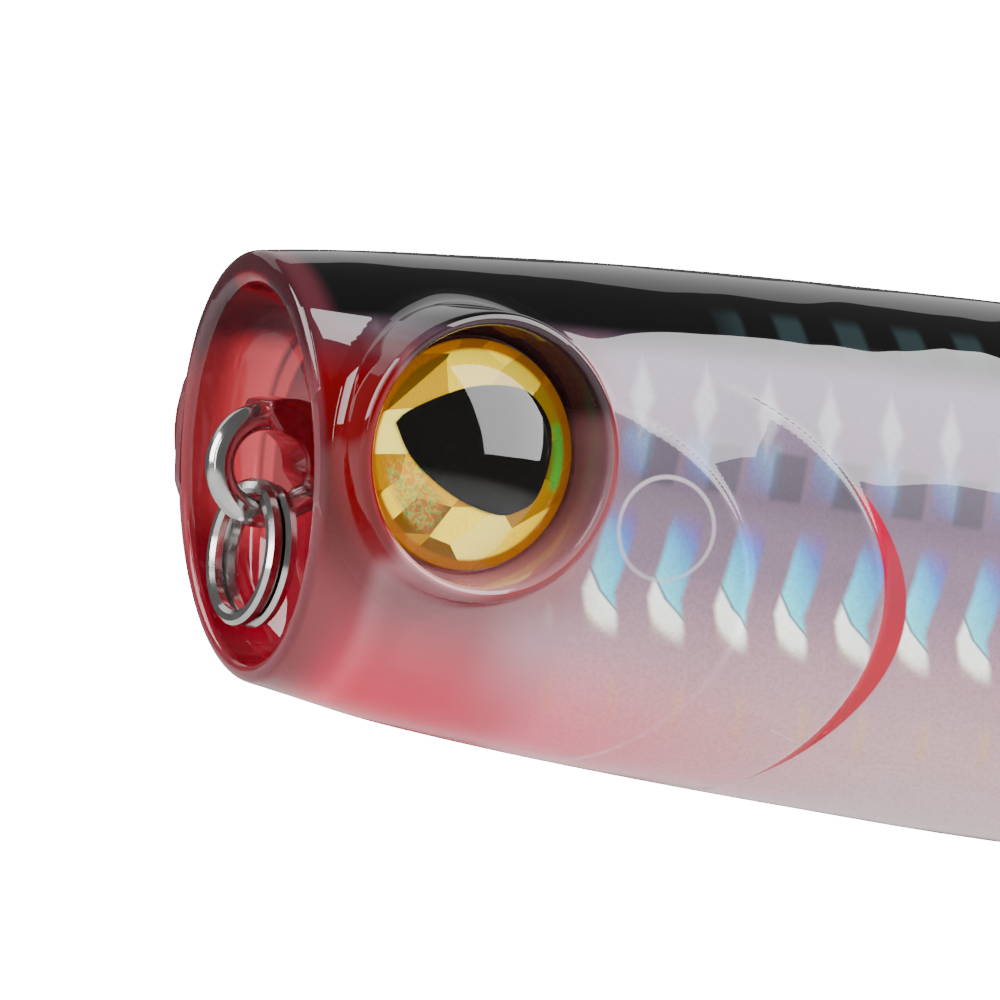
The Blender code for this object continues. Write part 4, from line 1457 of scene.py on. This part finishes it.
@dataclass
class Swivel:
    """The barrel swivel in the belly: a barrel and the wire eye that spins below it."""

    x: float = 66.0
    top: float = -5.0
    bottom: float = -14.0
    radius: float = 2.75
    eye_z: float = -20.3
    eye_radius: float = 2.5
    wire: float = 0.6

    @property
    def place(self) -> Matrix:
        """Return the transform to the swivel's axis."""
        return Matrix.Translation((self.x * MM, 0.0, 0.0))

    def barrel(self) -> bpy.types.Object:
        """Build the barrel, hollow and open at both ends."""
        hole, bore, low, high, r = 0.95, 2.0, self.bottom, self.top, self.radius
        profile = [(hole, low), (1.5, low), (1.9, low + 0.2), (2.4, low + 0.9), (r, low + 1.7),
                   (r, low + 2.6), (r - 0.2, low + 2.75), (r - 0.2, high - 2.75), (r, high - 2.6),
                   (r, high - 1.7), (2.4, high - 0.9), (1.9, high - 0.2), (1.5, high), (hole, high),
                   (hole, high - 1.1), (bore, high - 1.2), (bore, low + 1.2), (hole, low + 1.1)]
        return make_object("belly_barrel", turned("belly_barrel", profile, 72, self.place, loop=True))

    def lower_eye(self) -> bpy.types.Object:
        """Build the wire eye with its stem in the barrel and the wire wrapped round the stem."""
        place, low = self.place, self.bottom
        angles = np.linspace(0, math.tau, 72, endpoint=False)
        loop = np.stack([self.x + 0 * angles, self.eye_radius * np.cos(angles),
                         self.eye_z + self.eye_radius * np.sin(angles)], 1)
        eye = make_object("belly_wire_eye", swept("eye", loop, np.full(72, self.wire), 20, closed=True))
        top = self.eye_z + self.eye_radius
        stem = [(0.0, top - 0.1), (0.5, top), (0.65, top + 0.3), (0.65, low + 1.55),
                (1.6, low + 1.6), (1.6, low + 2.6), (1.3, low + 2.8), (0.0, low + 2.8)]
        cut(eye, make_object("stem", turned("stem", stem, 40, place)), "UNION")
        turns = [(0.65, top + 0.25)]
        for i in range(4):
            z = top + 0.55 + i * 0.62
            turns += [(0.68 + 0.3 * math.cos(a), z + 0.3 * math.sin(a))
                      for a in np.linspace(-math.pi / 2, math.pi / 2, 7)]
        turns += [(0.5, top + 2.75), (0.5, top + 0.25)]
        wrap = make_object("wrap", turned("wrap", turns, 40, place, loop=True))
        cut(eye, wrap, "UNION")
        eye.data.shade_smooth()
        eye.data.set_sharp_from_angle(angle=math.radians(40))
        return eye

    def build(self, steel: bpy.types.Material, brass: bpy.types.Material) -> None:
        """Build and dress the barrel and the lower eye."""
        dress(self.barrel(), brass, "lure", "nickel_brass", "swivel_barrel")
        dress(self.lower_eye(), steel, "belly_eye", "stainless_steel", "swivel_lower_eye")


@dataclass
class Trebles:
    """Treble hooks: three bent hooks round one shank, with barbs and an eye."""

    wire: float = 0.9
    eye_radius: float = 2.85
    eye_wire: float = 0.74
    bend_radius: float = 7.0
    bend_depth: float = 31.5
    belly: Point = (66.0, 0.0, -30.49)
    tail: Point = (144.5, 0.0, -10.40)

    def hook_line(self) -> bpy.types.Mesh:
        """Return one hook's path as a line of edges, in the XZ plane."""
        centre = self.bend_radius + 0.3
        points = [(0.62, -3.1), (0.6, -12.0), (0.45, -22.0), (0.35, -28.0)]
        for degrees in range(180, 361, 10):
            a, r = math.radians(degrees), self.bend_radius
            points.append((centre + r * math.cos(a), r * math.sin(a) - self.bend_depth))
        points += [(14.1, -28.0), (13.6, -24.5), (13.1, -22.0)]
        path = curve_through([(x, 0.0, z) for x, z in points], 0.7) * MM
        mesh = bpy.data.meshes.new("hook_line")
        mesh.from_pydata(path.tolist(), [(i, i + 1) for i in range(len(path) - 1)], [])
        return mesh

    def hook(self, steel: bpy.types.Material) -> bpy.types.Mesh:
        """Build a whole treble about its eye's centre, with one hook along +X.

        Args:
            steel: its finish.
        Returns:
            The treble's mesh.
        """
        net = GeometryNet("treble", {
            "Wire": self.wire * MM, "Eye": self.eye_radius * MM, "Eye Wire": self.eye_wire * MM,
            "Taper From": 0.89, "Hooks": 3.0})
        line = net.node("GeometryNodeMeshToCurve", None, {0: net.start.outputs[0]})
        share = net.node("GeometryNodeSplineParameter").outputs["Factor"]
        taper = net.node("ShaderNodeMapRange", None, {
            "Value": share, "From Min": net.number("Taper From"), "From Max": 1.0, "To Min": 1.0,
            "To Max": 0.06})
        scale = net.math("MULTIPLY", net.number("Wire"), taper.outputs[0])
        circle = net.node("GeometryNodeCurvePrimitiveCircle", None, {"Resolution": 16, "Radius": 1.0})
        solid = net.node("GeometryNodeCurveToMesh", None, {
            "Curve": line.outputs[0], "Profile Curve": circle.outputs[0], "Scale": scale,
            "Fill Caps": True})
        barb = net.node("GeometryNodeMeshCone", {"fill_type": "TRIANGLE_FAN"}, {
            "Vertices": 12, "Radius Top": 0.02 * MM, "Radius Bottom": 0.42 * MM, "Depth": 2.6 * MM})
        set_barb = net.node("GeometryNodeTransform", None, {
            "Geometry": barb.outputs[0], "Translation": (13.25 * MM, 0.0, -25.2 * MM),
            "Rotation": (0.0, math.radians(180 + 38), 0.0), "Scale": (1.0, 0.45, 1.0)})
        one = net.node("GeometryNodeJoinGeometry")
        net.tree.links.new(solid.outputs[0], one.inputs[0])
        net.tree.links.new(set_barb.outputs[0], one.inputs[0])
        posts = net.node("GeometryNodePoints", None, {"Count": 3, "Position": (0.0, 0.0, 0.0)})
        index = net.node("GeometryNodeInputIndex").outputs[0]
        turn = net.math("MULTIPLY", index, net.math("DIVIDE", math.tau, net.number("Hooks")))
        euler = net.node("ShaderNodeCombineXYZ", None, {0: 0.0, 1: 0.0, 2: turn})
        three = net.node("GeometryNodeInstanceOnPoints", None, {
            "Points": posts.outputs[0], "Instance": one.outputs[0], "Rotation": euler.outputs[0]})
        ring, section = (
            net.node("GeometryNodeCurvePrimitiveCircle", None,
                     {"Resolution": count, "Radius": net.number(key)})
            for count, key in ((64, "Eye"), (18, "Eye Wire")))
        eye = net.node("GeometryNodeCurveToMesh", None,
                       {"Curve": ring.outputs[0], "Profile Curve": section.outputs[0]})
        stand = net.node("GeometryNodeTransform", None,
                         {"Geometry": eye.outputs[0], "Rotation": (math.pi / 2, 0.0, 0.0)})
        join = net.node("GeometryNodeJoinGeometry")
        net.tree.links.new(three.outputs[0], join.inputs[0])
        net.tree.links.new(stand.outputs[0], join.inputs[0])
        return net.build("treble", join.outputs[0], steel, self.hook_line())

    def build(self, steel: bpy.types.Material) -> None:
        """Build and dress both hooks."""
        mesh = self.hook(steel)
        for name, spot, turn in (("belly", self.belly, math.pi / 2), ("tail", self.tail, 0.0)):
            made = mesh.copy()
            made.transform(Matrix.Translation(Vector(spot) * MM) @ Matrix.Rotation(turn, 4, "Z"))
            hook = make_object(f"{name}_triple_hook", tidy_mesh(made))
            dress(hook, steel, f"{name}_hook", "stainless_steel", f"{name}_treble")


@dataclass
class InnerParts:
    """The CAD parts inside the body that keep their shape and get their finish here."""

    def build(self, frame: dict, steel: bpy.types.Material) -> None:
        """Dress the inner CAD nodes.

        Args:
            steel: the finish of the balls and the swivel's upper eye.
        """
        clear = ClearTube("tube_clear").material()
        lead = Cast("cast_lead", (0.30, 0.31, 0.33), (0.16, 0.17, 0.18), 0.9, 0.5).material()
        foil = Cast("foil_back", (0.70, 0.66, 0.74), (0.50, 0.48, 0.60), 0.8, 0.35, 0.5).material()
        finishes = {"foil_left": foil, "foil_right": foil, "rattle_tube": clear, "tube_cap_front": clear,
                    "tube_cap_rear": clear, "rattle_ball_1": steel, "rattle_ball_2": steel,
                    "rattle_ball_3": steel, "swivel_upper_eye": steel, "belly_weight": lead}
        for name, material in finishes.items():
            for slot in frame["nodes"][name].material_slots:
                slot.material = material
            LOG.info("%s: new finish %s", name, material.name)


# ================================================================ studio

@dataclass
class Softbox:
    """A square lamp that shows in reflections but not to the camera."""

    name: str
    direction: Point
    distance: float
    width: float
    height: float
    radiance: float
    aim: Point = (0.02, 0.0, 0.0)

    def build(self) -> None:
        """Add the lamp."""
        data = bpy.data.lights.new(self.name, "AREA")
        data.shape = "RECTANGLE"
        data.size = self.width
        data.size_y = self.height
        data.energy = math.pi * self.width * self.height * self.radiance
        lamp = bpy.data.objects.new(self.name, data)
        way = Vector(self.direction).normalized()
        lamp.location = Vector(self.aim) + way * self.distance
        lamp.rotation_euler = way.to_track_quat("Z", "Y").to_euler()
        lamp.visible_camera = False
        bpy.context.scene.collection.objects.link(lamp)


@dataclass
class Studio:
    """The pale floor, the white surround, the lamps and the camera."""

    lens: float = 210.4
    azimuth: float = -28.0
    roll: float = 8.0
    distance: float = 0.35
    aim: Point = (0.01261, -0.00671, -0.00011)
    floor_z: float = -0.073
    fill: float = 0.16
    behind_glass: float = 1.3
    backdrop: float = 20.0

    def camera(self) -> None:
        """Add the camera, turned from the left side towards the nose, level, and rolled."""
        data = bpy.data.cameras.new("camera")
        data.lens = self.lens
        data.sensor_width = 36.0
        data.clip_start = 0.01
        data.dof.use_dof = False
        camera = bpy.data.objects.new("camera", data)
        azimuth, top = math.radians(self.azimuth), Vector((0.0, 0.0, 1.0))
        back = Vector((math.sin(azimuth), -math.cos(azimuth), 0.0))
        turn = Matrix.Rotation(math.radians(self.roll), 3, back)
        right, up = turn @ top.cross(back).normalized(), turn @ top
        matrix = Matrix((right, up, back)).transposed().to_4x4()
        matrix.translation = Vector(self.aim) + back * self.distance
        camera.matrix_world = matrix
        bpy.context.scene.collection.objects.link(camera)
        bpy.context.scene.camera = camera

    def surround(self) -> None:
        """Set the white backdrop and the soft grey fill."""
        world = bpy.data.worlds.new("surround")
        world.use_nodes = True
        tree = world.node_tree
        tree.nodes.clear()
        path = tree.nodes.new("ShaderNodeLightPath")
        last = None
        for ray, strength in ((None, self.fill), ("Is Transmission Ray", self.behind_glass),
                              ("Is Camera Ray", self.backdrop)):
            background = tree.nodes.new("ShaderNodeBackground")
            background.inputs["Color"].default_value = (*WHITE, 1.0)
            background.inputs["Strength"].default_value = strength
            shader = background.outputs[0]
            if last is not None:
                mix = tree.nodes.new("ShaderNodeMixShader")
                for source, target in zip((path.outputs[ray], last, shader), mix.inputs):
                    tree.links.new(source, target)
                shader = mix.outputs[0]
            last = shader
        output = tree.nodes.new("ShaderNodeOutputWorld")
        tree.links.new(last, output.inputs["Surface"])
        bpy.context.scene.world = world

    def floor(self) -> None:
        """Add a round pale floor that fades out at its edge."""
        rows = [ring_row(r, self.floor_z * 1000, 96) for r in (0.0, 100.0, 300.0, 420.0)]
        mesh = tidy_mesh(mesh_from_rows("floor", rows))
        mesh.flip_normals()
        floor = make_object("floor", mesh)
        net = Net("pale_floor")
        x, y, _ = net.place()
        reach = (x * x + y * y).math("SQRT")
        tone = net.mix(net.noise(0.01, 2.0), (0.48, 0.48, 0.48), (0.52, 0.52, 0.52))
        sheet = net.principled(Base_Color=tone, Roughness=0.8)
        gone = net.node("ShaderNodeBsdfTransparent").outputs[0]
        fade = reach.ramp_up(150.0, 400.0).math("MAXIMUM", net.facing_away())
        floor.data.materials.append(net.finish(net.blend(fade, sheet, gone)))

    def build(self) -> None:
        """Set up the whole studio."""
        self.camera()
        self.surround()
        self.floor()
        Softbox("key", (0.56, -0.59, 0.58), 0.7, 0.70, 0.92, 10.5).build()
        Softbox("front", (-1.0, 0.14, 0.25), 0.6, 0.4, 0.4, 10.0).build()
        Softbox("edge", (-0.9, -0.42, 0.10), 0.7, 0.04, 0.5, 14.0).build()
        Softbox("back", (0.1, 0.75, 0.62), 0.8, 1.8, 0.42, 0.9).build()


def main() -> None:
    """Build the lure's looks and the studio."""
    logging.basicConfig(level=logging.INFO, format="%(message)s")
    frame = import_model()
    Studio().build()
    steel = Chrome("polished_steel").material()
    brass = Chrome("nickelled_brass", (0.60, 0.56, 0.48), 0.2, 0.35).material()
    BodySkin().build(SkinPaint("skin_paint").material())
    Eyes().build()
    ThroughWire().build(steel)
    SplitRings().build(steel)
    Swivel().build(steel, brass)
    Trebles().build(steel)
    InnerParts().build(frame, steel)


if __name__ == "__main__":
    main()
